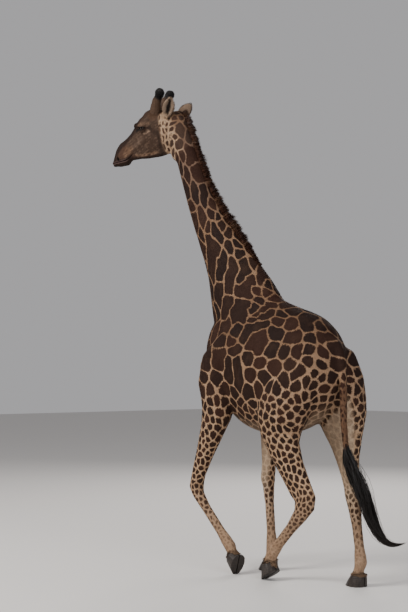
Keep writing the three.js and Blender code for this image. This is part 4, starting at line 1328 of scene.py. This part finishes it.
def coat_finish(name, on_tufts):
    """The coat on the skin, or on the tufts, which are lighter towards their tips."""
    material, tree, shader = start_material(name, 0.78, Specular_IOR_Level=0.12)
    pattern = grouped(tree, PATTERN)
    tree.links.new(attribute(tree, "ground", "Color"), pattern.inputs["Ground"])
    tree.links.new(attribute(tree, "patch", "Color"), pattern.inputs["Patch"])
    for label in ("Edge", "Fade", "Tone"):
        tree.links.new(attribute(tree, label.lower()), pattern.inputs[label])
    colour = pattern.outputs["Color"]
    if on_tufts:
        lighter = blended(tree, 1.0, colour, TIP_LIGHT, "MULTIPLY")
        colour = blended(tree, ramp(tree, attribute(tree, "tip"), 0.2, 1, 0.0, 0.8), colour, lighter)
    tree.links.new(colour, shader.inputs["Base Color"])
    roughen(tree, shader, grouped(tree, RELIEF).outputs["Height"], 0.0012 if on_tufts else 0.0022)
    return material


SKIN_COAT, TUFT_COAT = coat_finish("coat_on_skin", False), coat_finish("coat_tufts", True)
skin.data.materials.append(SKIN_COAT)


def settle(piece, slot, *replaced):
    """Every piece rides the one body, and the slot that it is given is not used; some take the place of CAD
    nodes.
    """
    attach(piece, "root")
    if replaced:
        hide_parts(*replaced)
    return piece


def dress(piece, finish):
    piece.data.materials.clear()
    piece.data.materials.append(finish)


settle(skin, "coat", *FLESH, *EARS)


# ---------------------------------------------------------------- eyes, horns and hooves
def make_eye(side):
    """The ball of an eye with its bulging cornea, turned the way that the eye looks."""
    label = "left" if side > 0 else "right"
    bpy.ops.mesh.primitive_uv_sphere_add(segments=48, ring_count=32, radius=EYE_RADIUS)
    piece = bpy.context.object
    piece.name = piece.data.name = "eyeball_" + label
    look = Vector((EYE_LOOK.x, EYE_LOOK.y * side, EYE_LOOK.z))
    local = points_of(piece.data)
    wide = np.arccos(np.clip(local[:, 2] / EYE_RADIUS, -1, 1))
    local *= (1 + 0.075 * smooth_step(0.62, 0.25, wide))[:, None]
    slit = Vector((SLIT.x, SLIT.y * side, SLIT.z))
    turn = np.array([slit, look.cross(slit), look]).T
    centre = np.array([EYE_AT[0], EYE_AT[1] * side, EYE_AT[2]])
    set_points(piece.data, from_head(local @ turn.T + centre))
    if np.linalg.det(turn) < 0:
        piece.data.flip_normals()
    bpy.ops.object.shade_smooth()
    give(piece.data, "wide", wide)
    give(piece.data, "slit", local[:, 1] / EYE_RADIUS)
    give(piece.data, "level", local[:, 0] / EYE_RADIUS)
    return settle(piece, "eye", "eye_" + label)


def eye_finish():
    """A brown eye with a wide dark pupil and hardly any white."""
    material, tree, shader = start_material("wet_eye", 0.12, Coat_Weight=0.12, Coat_Roughness=0.02,
                                            Specular_IOR_Level=0.22)
    wide = attribute(tree, "wide")
    streaks = noise(tree, 900, 2)
    veins = ramp(tree, noise(tree, 240, 3), 0.4, 0.7)
    white = blended(tree, veins, (0.026, 0.015, 0.011), (0.050, 0.030, 0.021))
    iris = blended(tree, streaks, (0.009, 0.0045, 0.003), (0.030, 0.014, 0.007))
    iris = blended(tree, ramp(tree, wide, 0.55, 0.68, smooth=True), iris, (0.006, 0.004, 0.003))
    tall = reckon(tree, "MULTIPLY", attribute(tree, "slit"), 2.3)
    level = reckon(tree, "MULTIPLY", attribute(tree, "level"), 1.25)
    squares = [reckon(tree, "MULTIPLY", way, way) for way in (tall, level)]
    shape = reckon(tree, "SQRT", reckon(tree, "ADD", *squares))
    iris = blended(tree, ramp(tree, shape, 0.44, 0.36, smooth=True), iris, (0.0015, 0.0015, 0.002))
    colour = blended(tree, ramp(tree, wide, 0.70, 0.76, smooth=True), iris, white)
    tree.links.new(colour, shader.inputs["Base Color"])
    return material


def smoothed_cast(name, cad_node, grain, rounds):
    """A CAD node remade with a fine even mesh, its flats and corners eased."""
    piece = cast_of(name, cad_node)
    finish_with(piece, "REMESH", mode="VOXEL", voxel_size=grain, adaptivity=0)
    finish_with(piece, "SMOOTH", factor=0.5, iterations=rounds)
    piece.data.polygons.foreach_set("use_smooth", np.ones(len(piece.data.polygons), bool))
    return piece


def make_horn(label):
    """A horn with its knob, its drawn-in neck and the lumps of old bone."""
    piece = smoothed_cast("horn_" + label, "ossicone_" + label, 0.0045, 26)
    co = points_of(piece.data)
    face, _ = folded(co)
    _, along = to_run(face, horn_line(1 if label == "left" else -1))
    normals = points_of(piece.data, "normal")
    swell = 0.004 * bump(along, 0.90, 0.10) - 0.004 * bump(along, 0.66, 0.12)
    swell = swell - 0.003 * smooth_step(0.18, 0.0, along)
    lumps = wander(co, 0.045, 21)[:, 0] * 0.0022 + wander(co, 0.018, 22)[:, 0] * 0.0008
    set_points(piece.data, co + normals * (swell + lumps)[:, None])
    give(piece.data, "along", along)
    return settle(piece, "horn", "ossicone_" + label)


def horn_finish():
    material, tree, shader = start_material("horn_hair_and_skin", 0.66, Specular_IOR_Level=0.22)
    uneven = reckon(tree, "SUBTRACT", noise(tree, 45, 3, 0.6), 0.5)
    along = reckon(tree, "MULTIPLY_ADD", uneven, 0.16, attribute(tree, "along"))
    stem = blended(tree, noise(tree, 60, 4, 0.6), (0.034, 0.018, 0.011), (0.105, 0.058, 0.034))
    colour = blended(tree, ramp(tree, along, 0.52, 0.68, smooth=True), stem, (0.0065, 0.0055, 0.0055))
    bare = ramp(tree, along, 0.97, 1.0, smooth=True)
    colour = blended(tree, reckon(tree, "MULTIPLY", bare, 0.5), colour, (0.030, 0.025, 0.023))
    tree.links.new(colour, shader.inputs["Base Color"])
    roughen(tree, shader, grouped(tree, RELIEF).outputs["Height"], 0.0025, 0.7)
    return material


HOOVES = [
    leg + "_" + claw
    for leg in ("fore_left", "fore_right", "hind_left", "hind_right")
    for claw in ("outer", "inner")
]


def make_hoof(label):
    """One toe of a hoof, flat again underneath where the easing rounded it."""
    piece = smoothed_cast("claw_" + label, "hoof_" + label, 0.0040, 8)
    co = points_of(piece.data)
    low = points_of(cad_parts["hoof_" + label].data)[:, 2].min()
    co[:, 2] += low - co[:, 2].min()
    co[:, 2] = np.where(co[:, 2] < low + 0.0015, low, co[:, 2])
    set_points(piece.data, co)
    return settle(piece, "hoof", "hoof_" + label)


HOOF_DARK, HOOF_RING, HOOF_WORN = (0.010, 0.0075, 0.0065), (0.026, 0.019, 0.016), (0.070, 0.054, 0.042)
RINGS = {"Scale": 21.0, "Distortion": 5.0, "Detail": 4.0, "Detail Scale": 0.8}


def hoof_finish():
    """Dark horn with growth rings, worn pale and rough in places."""
    material, tree, shader = start_material("hoof_horn", 0.50, Specular_IOR_Level=0.30)
    spot = node(tree, "TexCoord")
    rings = node(tree, "TexWave", wave_type="BANDS", bands_direction="Z")
    for name, value in RINGS.items():
        rings.inputs[name].default_value = value
    tree.links.new(spot.outputs["Object"], rings.inputs["Vector"])
    worn = ramp(tree, noise(tree, 55, 4, 0.65), 0.42, 0.72)
    colour = blended(tree, rings.outputs["Fac"], HOOF_DARK, HOOF_RING)
    colour = blended(tree, reckon(tree, "MULTIPLY", worn, 0.5), colour, HOOF_WORN)
    tree.links.new(colour, shader.inputs["Base Color"])
    tree.links.new(ramp(tree, worn, 0, 1, 0.36, 0.68), shader.inputs["Roughness"])
    roughen(tree, shader, rings.outputs["Fac"], 0.0008, 0.5)
    return material


EYE_FINISH, HORN_FINISH, HOOF_FINISH = eye_finish(), horn_finish(), hoof_finish()
for side in (1, -1):
    dress(make_eye(side), EYE_FINISH)
horns = {label: make_horn(label) for label in ("left", "right")}
for horn in horns.values():
    dress(horn, HORN_FINISH)
claws = {label: make_hoof(label) for label in HOOVES}
for claw in claws.values():
    dress(claw, HOOF_FINISH)


# ---------------------------------------------------------------- hair
def unwrap(skin):
    """The skin's own unwrap, where every tuft finds the place of its root."""
    bpy.ops.object.select_all(action="DESELECT")
    bpy.context.view_layer.objects.active = skin
    skin.select_set(True)
    skin.data.uv_layers.new(name="OFBake")
    bpy.ops.object.mode_set(mode="EDIT")
    bpy.ops.mesh.select_all(action="SELECT")
    bpy.ops.uv.smart_project(angle_limit=math.radians(66), island_margin=0.003)
    bpy.ops.object.mode_set(mode="OBJECT")
    skin.select_set(False)
    places = np.empty(len(skin.data.loops) * 2, np.float32)
    skin.data.uv_layers["OFBake"].data.foreach_get("uv", places)
    return places.reshape(-1, 3, 2)


def scatter_on(mesh, count, rng, weight=None):
    """Points spread at random over a mesh, and the way that it faces at each."""
    triangles = triangles_of(mesh)
    at, chosen, shares = scatter(points_of(mesh), triangles, count, rng, weight)
    return at, unit(np.einsum("ij,ijk->ik", shares, points_of(mesh, "normal")[triangles[chosen]]))


class Roots:
    """Places on the skin where hair grows, with all that the skin has there."""

    def __init__(self, count, weight, rng):
        self.at, triangle, shares = scatter(SKIN_AT, SKIN_TRIANGLES, count, rng, weight)
        corner = SKIN_TRIANGLES[triangle]
        self.normal = unit(np.einsum("ij,ijk->ik", shares, SKIN_NORMALS[corner]))
        self.lie = unit(lie_of(self.at)[0])
        on_ear, _, _, ear_lie, _ = ear_view(self.at)
        self.lie += (ear_lie - self.lie) * on_ear[:, None]
        self.lie = unit(self.lie - self.normal * (self.lie * self.normal).sum(axis=1, keepdims=True))
        self.place = np.einsum("ij,ijk->ik", shares, SKIN_PLACES[triangle])
        self.values = {}
        for name, values in SKIN_VALUES.items():
            self.values[name] = np.einsum("ij,ij...->i...", shares, values[corner])
        self.values["tone"] = patches.tone[owner][triangle]

    def keep(self, chosen):
        for name in ("at", "normal", "lie", "place"):
            setattr(self, name, getattr(self, name)[chosen])
        self.values = {name: values[chosen] for name, values in self.values.items()}
        return self


TUFT_PATCH = 0.003


def strips(name, spines, across, widths, values, place, slot, finish, *replaced):
    """Flat tapering locks of hair as one mesh: each spine is a row of points, the last one the tip, and each
    lock is one small patch of OFBake at its root's place on the skin's unwrap."""
    count, steps, _ = spines.shape
    steps -= 1
    half = across[:, None] * widths[:, :-1, None] / 2
    left, right = spines[:, :-1] - half, spines[:, :-1] + half
    pairs = np.stack([left, right], axis=2).reshape(count, steps * 2, 3)
    co = np.concatenate([pairs, spines[:, -1:]], axis=1)
    each = steps * 2 + 1
    faces = []
    for k in range(steps - 1):
        faces += [[2 * k, 2 * k + 1, 2 * k + 3], [2 * k, 2 * k + 3, 2 * k + 2]]
    faces.append([2 * steps - 2, 2 * steps - 1, 2 * steps])
    faces = (np.arange(count)[:, None, None] * each + np.array(faces)).reshape(-1, 3)
    mesh = mesh_of(name, co.reshape(-1, 3), faces)
    tip = np.append(np.repeat(np.arange(steps) / steps, 2), 1.0)
    give(mesh, "tip", np.tile(tip, count))
    for label, value in values.items():
        give(mesh, label, np.repeat(value, each, axis=0))
    corner = np.column_stack([np.append(np.tile([-0.5, 0.5], steps), 0.0), tip - 0.5]) * TUFT_PATCH
    uv = (place[:, None] + corner).reshape(-1, 2)[faces.ravel()]
    mesh.uv_layers.new(name="OFBake").data.foreach_set("uv", uv.astype(np.float32).ravel())
    piece = object_of(name, mesh)
    mesh.materials.append(finish)
    return settle(piece, slot, *replaced)


def turned_in_skin(lie, normal, angle):
    """The lie turned by an angle in the plane of the skin."""
    return lie * np.cos(angle)[:, None] + np.cross(normal, lie) * np.sin(angle)[:, None]


def coat_piece(name, roots, length, width, rise, rng):
    """Short tufts that lie along the body, one behind another."""
    count = len(roots.at)
    length = length * rng.uniform(0.75, 1.25, count)
    swirl = wander(roots.at, 0.12, 31)[:, 0] * 0.22 + rng.normal(0, 0.16, count)
    lie = turned_in_skin(roots.lie, roots.normal, swirl)
    across = unit(np.cross(lie, roots.normal))
    rise = rise * rng.uniform(0.6, 1.4, count)
    steps = np.array([0.0, 0.55, 1.0])
    spine = roots.at[:, None] + lie[:, None] * (length[:, None] * steps)[..., None]
    height = np.column_stack([np.full(count, -0.0008), rise * 0.75, rise])
    spine = spine + roots.normal[:, None] * height[..., None]
    widths = width * rng.uniform(0.8, 1.2, count)
    widths = np.column_stack([widths, widths * 0.85, widths * 0])
    return strips(name, spine, across, widths, roots.values, roots.place, "coat", TUFT_COAT)


SKIN_PLACES = unwrap(skin)
SKIN_AT, SKIN_TRIANGLES = points_of(skin.data), triangles_of(skin.data)
SKIN_NORMALS, SKIN_TREE = points_of(skin.data, "normal"), tree_of(skin.data)


def place_on_skin(points):
    """The unwrapped place of the skin nearest to each point."""
    return np.array([SKIN_PLACES[SKIN_TREE.find_nearest(point)[2]].mean(axis=0) for point in points])


# The pieces of the short coat and how many tufts each has.
COAT_PIECES = {
    "coat_head": 26000,
    "coat_neck": 36000,
    "coat_trunk": 46000,
    "coat_forelegs": 26000,
    "coat_hindlegs": 36000,
}


def coat_pieces_at():
    """Which of the coat's pieces grows at each point of the skin."""
    _, _, shares = lie_of(SKIN_AT)
    head, neck = share_of(shares, "face"), share_of(shares, "neck")
    trunk, fore = share_of(shares, "back", "flank", "belly"), share_of(shares, "fore")
    hind = share_of(shares, "hind") + share_of(shares, "tail")
    return np.argmax(np.column_stack([head, neck, trunk, fore, hind]), axis=1)


def hair_size(at):
    """Length of the short hair at each point: least on the face and the feet."""
    _, _, shares = lie_of(at)
    face, _ = folded(at)
    length = 0.0150 * np.ones(len(at))
    length -= 0.0030 * share_of(shares, "neck")
    length -= 0.0050 * share_of(shares, "hind", "fore") * smooth_step(1.5, 0.9, at[:, 2])
    length -= 0.0030 * smooth_step(0.6, 0.2, at[:, 2])
    head = smooth_step(0.2, 0.6, share_of(shares, "face"))
    length = length * (1 - head) + 0.0080 * head
    muzzle = head * smooth_step(0.45, 0.65, face[:, 0])
    return length * (1 - muzzle) + 0.0050 * muzzle


def bare_skin():
    """The lids, the lips, the nostrils and the roots of the horns, where no tufts grow."""
    face, _ = folded(SKIN_AT)
    flat = face[:, [0, 2]]
    far, _, past = eye_view(face)
    to_nostril = np.linalg.norm((flat - np.array(NOSTRIL_AT)) / [0.014, 0.028], axis=1)
    to_horn, along = to_run(face, HORN_LINE)
    bare = (far < 0.06) & (past < 0.006)
    bare |= (to_run(flat, MOUTH)[0] < 0.006) & (face[:, 0] > 0.60) & (SKIN_AT[:, 2] > 3)
    bare |= (to_nostril < 1) & (face[:, 1] > 0.02)
    return bare | (to_horn < 0.075) & (along > 0.05)


def make_coat(rng):
    """Short tufts all over the body, thickest on the lower legs."""
    piece_at = coat_pieces_at()
    dense = np.where(bare_skin(), 0.0, 1.0) * np.where(SKIN_AT[:, 2] < 0.9, 1.5, 1.0)
    share = 1.0
    for k, (name, count) in enumerate(COAT_PIECES.items()):
        roots = Roots(int(count * share), dense * (piece_at == k), rng)
        size = hair_size(roots.at)
        width = 0.0022 if name == "coat_head" else 0.0028 + 0.10 * size
        coat_piece(name, roots, size, width, 0.11 * size + 0.0006, rng)


def hair_finish(name, root, tip, shine, rough=0.45):
    """Long hair, streaked from lock to lock, and of another colour towards its tips."""
    material, tree, shader = start_material(name, rough, Specular_IOR_Level=shine)
    along = attribute(tree, "tip")
    streak = blended(tree, attribute(tree, "tone"), root, tuple(0.45 * c for c in root))
    streak = blended(tree, reckon(tree, "MULTIPLY", noise(tree, 40, 3, 0.6), 0.6), streak, tip)
    colour = blended(tree, ramp(tree, along, 0.35, 1.0), streak, tip)
    tree.links.new(blended(tree, attribute(tree, "pale"), colour, BACK_LINE), shader.inputs["Base Color"])
    roughen(tree, shader, noise(tree, 500, 2), 0.0008)
    return material


def make_lashes(rng):
    """Long dark lashes along the upper lids, which hang over the eyes."""
    spines, across = [], []
    look, slit, over = (np.array(way) for way in (EYE_LOOK, SLIT, LID_UP))
    steps = np.linspace(0, 1, 5)[:, None]
    for side in (1, -1):
        for t in np.concatenate([np.linspace(-0.94, 0.94, 60), np.linspace(-0.9, 0.9, 45)]):
            above = UPPER_LID * (1 - abs(t) ** LID_CURVE) + rng.uniform(0.0, 0.0022)
            way = slit * (t * SLIT_HALF / EYE_RADIUS) + over * (above / EYE_RADIUS)
            way = way + look * math.sqrt(1 - way @ way)
            root = np.array(EYE_AT) + way * (EYE_RADIUS + 0.0030)
            out = unit(0.85 * look + slit * (0.70 * t + rng.normal(0, 0.10)) - 0.30 * over)
            length = (0.030 - 0.010 * t * t) * rng.uniform(0.75, 1.1)
            spine = root + length * (out * steps + over * (0.30 * steps ** 2 - 0.10 * steps))
            spines.append(from_head(spine * [1, side, 1]))
            across.append((slit * [1, side, 1]) @ HEAD_TURN.T)
    spines = np.array(spines)
    widths = 0.0013 * np.ones((len(spines), 1)) * np.array([1, 1, 0.85, 0.6, 0])
    finish = hair_finish("lash_hair", (0.006, 0.0045, 0.004), (0.009, 0.006, 0.005), 0.3)
    values = {"tone": rng.random(len(spines))}
    strips("eyelashes", spines, np.array(across), widths, values, place_on_skin(spines[:, 0]), "coat", finish)


def make_horn_hair(horns, rng):
    """Short hair up the horns, longer and darker round the knobs."""
    for label, piece in horns.items():
        side = 1 if label == "left" else -1
        line = horn_line(side)
        at, normal = scatter_on(piece.data, 6500, rng)
        _, along = to_run(in_head(at) * [1, side, 1], line)
        stretch = np.clip((along * 4).astype(int), 0, 3)
        lie = ((line[stretch + 1] - line[stretch]) * [1, side, 1]) @ HEAD_TURN.T
        lie = unit(lie + 0.25 * rng.normal(size=lie.shape) * np.linalg.norm(lie, axis=1)[:, None])
        lie = unit(lie - normal * (lie * normal).sum(axis=1, keepdims=True))
        knob = smooth_step(0.60, 0.72, along) * smooth_step(0.99, 0.90, along)
        length = (0.008 + 0.005 * knob) * rng.uniform(0.7, 1.3, len(at))
        steps = np.array([0.0, 0.55, 1.0])
        spine = at[:, None] + lie[:, None] * (length[:, None] * steps)[..., None]
        rise = 0.0010 + (0.10 + 0.25 * knob) * length
        spine += normal[:, None] * (rise[:, None] * np.array([-0.3, 0.8, 1.0]))[..., None]
        widths = 0.0022 * rng.uniform(0.7, 1.2, len(at))[:, None] * np.array([1.0, 0.85, 0])
        across = unit(np.cross(lie, normal))
        strips("horn_hair_" + label, spine, across, widths, {"along": along}, place_on_skin(at), "horn",
               HORN_FINISH)


def make_coronet_hair(rng):
    """Hair of the leg that hangs over the tops of the hooves."""
    hooves = [node_tree("hoof_" + label) for label in HOOVES]
    weight = np.zeros(len(SKIN_AT))
    for i in np.flatnonzero(SKIN_AT[:, 2] < 0.22):
        weight[i] = min(tree.find_nearest(SKIN_AT[i])[3] for tree in hooves) < 0.016
    roots = Roots(6000, weight, rng)
    roots.lie = unit(roots.lie + 0.35 * roots.normal + np.array([0, 0, -0.35]))
    roots.values["ground"] = roots.values["ground"] * 0.55
    coat_piece("coronet_hair", roots, 0.020, 0.0034, 0.003, rng)


def make_pastern_hair(rng):
    """Where a hoof stands out past the leg, hair covers its top."""
    spots, normals, lies = [], [], []
    for label, claw in claws.items():
        co, facing = points_of(claw.data), points_of(claw.data, "normal")
        middle = co.mean(axis=0)
        fetlock = LEG_BONES[label.rsplit("_", 1)[0]][-1]
        up = unit(place(*fetlock) - middle)
        high = (co - middle) @ up
        weight = smooth_step(0.45, 0.75, facing @ up) * (high > 0.5 * high.max()) + 1e-9
        at, normal = scatter_on(claw.data, 900, rng, weight)
        out = at - middle
        out = unit(out - (out @ up)[:, None] * up) + 0.35 * up
        spots.append(at)
        normals.append(normal)
        lies.append(unit(out - normal * (out * normal).sum(axis=1, keepdims=True)))
    spots, normals, lies = np.vstack(spots), np.vstack(normals), np.vstack(lies)
    none = np.zeros(len(spots))
    plain = {"ground": all_over(0.6 * np.array(SHANK), spots), "patch": all_over(SHANK_PATCH, spots),
             "edge": none - 0.02, "fade": none, "tone": none}
    roots = SimpleNamespace(at=spots, normal=normals, lie=lies, place=place_on_skin(spots), values=plain)
    coat_piece("pastern_hair", roots, 0.019, 0.0034, 0.006, rng)


def make_ear_hair(rng):
    """The longer pale hair in the ears, thickest along their edges."""
    on_ear, _, wide, _, opening = ear_view(SKIN_AT)
    inside = smooth_step(0.1, 0.5, (SKIN_NORMALS * opening).sum(axis=1))
    weight = on_ear * inside * (0.4 + smooth_step(0.5, 0.9, np.abs(wide)))
    roots = Roots(3600, weight, rng)
    coat_piece("ear_hair", roots, 0.024, 0.0026, 0.008, rng)


def make_mane(rng):
    """Stiff hair standing in a narrow row down the back of the neck."""
    crest = node_tree("mane")
    low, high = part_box("mane")
    mean = SKIN_AT[SKIN_TRIANGLES].mean(axis=1)
    box = np.all((mean > np.array(low) - 0.03) & (mean < np.array(high) + 0.03), axis=1)
    weight = np.zeros(len(SKIN_AT))
    for i in np.flatnonzero(box):
        if crest.find_nearest(mean[i])[3] < 0.008:
            weight[SKIN_TRIANGLES[i]] = 1.0
    roots = Roots(19000, weight, rng)
    roots.keep([crest.find_nearest(at)[3] < 0.009 for at in roots.at.tolist()])
    count = len(roots.at)
    length = (0.062 + 0.020 * smooth_step(3.9, 3.2, roots.at[:, 2])) * rng.uniform(0.72, 1.1, count)
    length *= 1 + 0.16 * wander(roots.at, 0.10, 41)[:, 0]
    length *= 0.30 + 0.70 * smooth_step(low[2], low[2] + 0.34, roots.at[:, 2])
    middle = unit(roots.normal + 0.10 * rng.normal(size=(count, 3)))
    lean = wander(roots.at, 0.050, 42) * 0.20 + wander(roots.at, 0.020, 43) * 0.12
    way = unit(middle + 0.22 * roots.lie + lean)
    curl = unit(way + 0.25 * roots.lie + 0.5 * lean)
    steps = np.array([0.0, 0.35, 0.7, 1.0])
    spine = roots.at[:, None] + (length[:, None] * steps)[..., None] * (
        way[:, None] * (1 - 0.5 * steps)[:, None] + curl[:, None] * (0.5 * steps)[:, None])
    spine[:, 0] -= roots.normal * 0.002
    across = unit(np.cross(way, rng.normal(size=(count, 3))))
    width = 0.0034 * rng.uniform(0.7, 1.3, count)
    widths = width[:, None] * np.array([1.0, 0.9, 0.6, 0])
    pale = 0.30 * smooth_step(0.006, -0.006, roots.values["edge"])
    values = {"tone": rng.random(count), "pale": pale}
    finish = hair_finish("mane_hair", (0.085, 0.032, 0.015), (0.030, 0.013, 0.009), 0.35)
    strips("mane_hair", spine, across, widths, values, roots.place, "mane", finish, "mane")


# The tassel's middle line from the tail's end to its tip: forward, left and up, and its half width.
TASSEL = [
    (0.046, -0.014, 1.300, 0.026),
    (0.034, -0.030, 1.200, 0.052),
    (0.010, -0.058, 1.050, 0.060),
    (-0.050, -0.098, 0.890, 0.060),
    (-0.112, -0.145, 0.680, 0.056),
    (-0.150, -0.188, 0.500, 0.046),
    (-0.225, -0.232, 0.395, 0.032),
    (-0.330, -0.262, 0.388, 0.014),
    (-0.415, -0.286, 0.425, 0.006),
]
LOCK_STEPS, CLUMP_TURN = 13, 0.52


def read_off(path, spot):
    """The columns of a path at fractions of its rows."""
    rows = np.arange(len(path))
    return np.stack([np.interp(spot, rows, path[:, k]) for k in range(path.shape[1])], axis=-1)


def make_tassel(rng):
    """Long dark locks that hang from the end of the tail and trail behind."""
    line = np.array([[*place(*row[:3]), row[3]] for row in TASSEL])
    path = read_off(line, np.linspace(0, len(line) - 1, 80))
    for _ in range(24):
        path[1:-1] = 0.5 * path[1:-1] + 0.25 * (path[:-2] + path[2:])
    run = unit(np.gradient(path[:, :3], axis=0))
    side = unit(np.cross(run, [0.3, 0.2, 1.0]))
    over = np.cross(side, run)
    count = 3400
    start = rng.uniform(0.0, 0.20, count)
    end = np.clip(start + 0.24 + rng.beta(2.2, 1.5, count) * 0.60, 0, 1.0)
    turn, far = rng.uniform(0, 2 * math.pi, count), np.sqrt(rng.random(count))
    down = np.linspace(0, 1, LOCK_STEPS + 1)
    s = start[:, None] + (end - start)[:, None] * down
    spot = s * (len(path) - 1)
    centre = read_off(path, spot)
    girth = centre[..., 3] * (0.35 + 0.65 * smooth_step(0, 0.25, (s - start[:, None])))
    phase, wave = rng.uniform(0, 6.28, (2, count)), rng.uniform(5, 11, count)
    stray = np.where(rng.random(count) < 0.10, rng.uniform(1.1, 1.7, count), 1.0)
    far = far * stray
    # The locks draw together in clumps towards their tips, and each swings a little on its own.
    clump = np.round(turn / CLUMP_TURN) * CLUMP_TURN
    gather = smooth_step(0.2, 1.0, down)
    swing = 0.30 * np.sin(s * 5 + 2.1 * clump[:, None])
    own = (0.12 + 0.5 * (stray > 1))[:, None] * np.sin(s * 9 + phase[0][:, None])
    angle = turn[:, None] * (1 - gather) + clump[:, None] * gather + swing + own
    spread = far[:, None] * (1 - 0.30 * gather + 0.22 * np.sin(s * 11 + 3.3 * clump[:, None]))
    wide = girth * (spread + 0.05 * np.sin(s * wave[:, None] + phase[1][:, None]))
    sideways = read_off(side, spot) * (wide * np.cos(angle))[..., None]
    spine = centre[..., :3] + sideways + read_off(over, spot) * (wide * np.sin(angle))[..., None]
    across = unit(np.cross(read_off(run, spot).mean(axis=1), rng.normal(size=(count, 3))))
    width = 0.0042 * rng.uniform(0.6, 1.3, count) * np.where(stray > 1, 0.6, 1)
    taper = 0.55 + 0.45 * np.sin(np.linspace(0.15, 1, LOCK_STEPS + 1) * math.pi)
    values = {"tone": rng.random(count)}
    finish = hair_finish("tassel_hair", (0.008, 0.0068, 0.0070), (0.016, 0.011, 0.008), 0.30, 0.46)
    strips("tassel_hair", spine, across, width[:, None] * taper, values, place_on_skin(spine[:, 0]), "tassel",
           finish, "tail_tuft")


make_coat(rng)
make_mane(rng)
make_tassel(rng)
make_lashes(rng)
make_horn_hair(horns, rng)
make_coronet_hair(rng)
make_pastern_hair(rng)
make_ear_hair(rng)


# ---------------------------------------------------------------- floor, light and camera
def floor():
    bpy.ops.mesh.primitive_plane_add(size=80)
    piece = bpy.context.object
    piece.name = "floor"
    material = bpy.data.materials.new("pale_floor")
    material.use_nodes = True
    shader = material.node_tree.nodes["Principled BSDF"]
    shader.inputs["Base Color"].default_value = (0.62, 0.60, 0.58, 1)
    shader.inputs["Roughness"].default_value = 0.9
    piece.data.materials.append(material)


def lamp(name, at, aim, size, watts, colour):
    light = bpy.data.lights.new(name, "AREA")
    light.energy, light.size, light.color = watts, size, colour
    holder = bpy.data.objects.new(name, light)
    holder.location = at
    holder.rotation_euler = (Vector(aim) - Vector(at)).to_track_quat("-Z", "Y").to_euler()
    bpy.context.collection.objects.link(holder)


def studio():
    floor()
    middle = (0, 0, 2.2)
    lamp("key", (9.5, -3.0, 8.5), middle, 5.0, 1700, (1.0, 0.97, 0.93))
    lamp("fill", (3.0, 10.5, 5.0), middle, 7.0, 620, (0.94, 0.96, 1.0))
    lamp("rim", (-8.0, -5.0, 7.0), middle, 5.0, 600, (1.0, 0.95, 0.92))
    world = bpy.data.worlds.new("studio")
    bpy.context.scene.world = world
    world.use_nodes = True
    background = world.node_tree.nodes["Background"]
    background.inputs["Color"].default_value = (0.83, 0.82, 0.84, 1)
    background.inputs["Strength"].default_value = 0.5


studio()
camera()
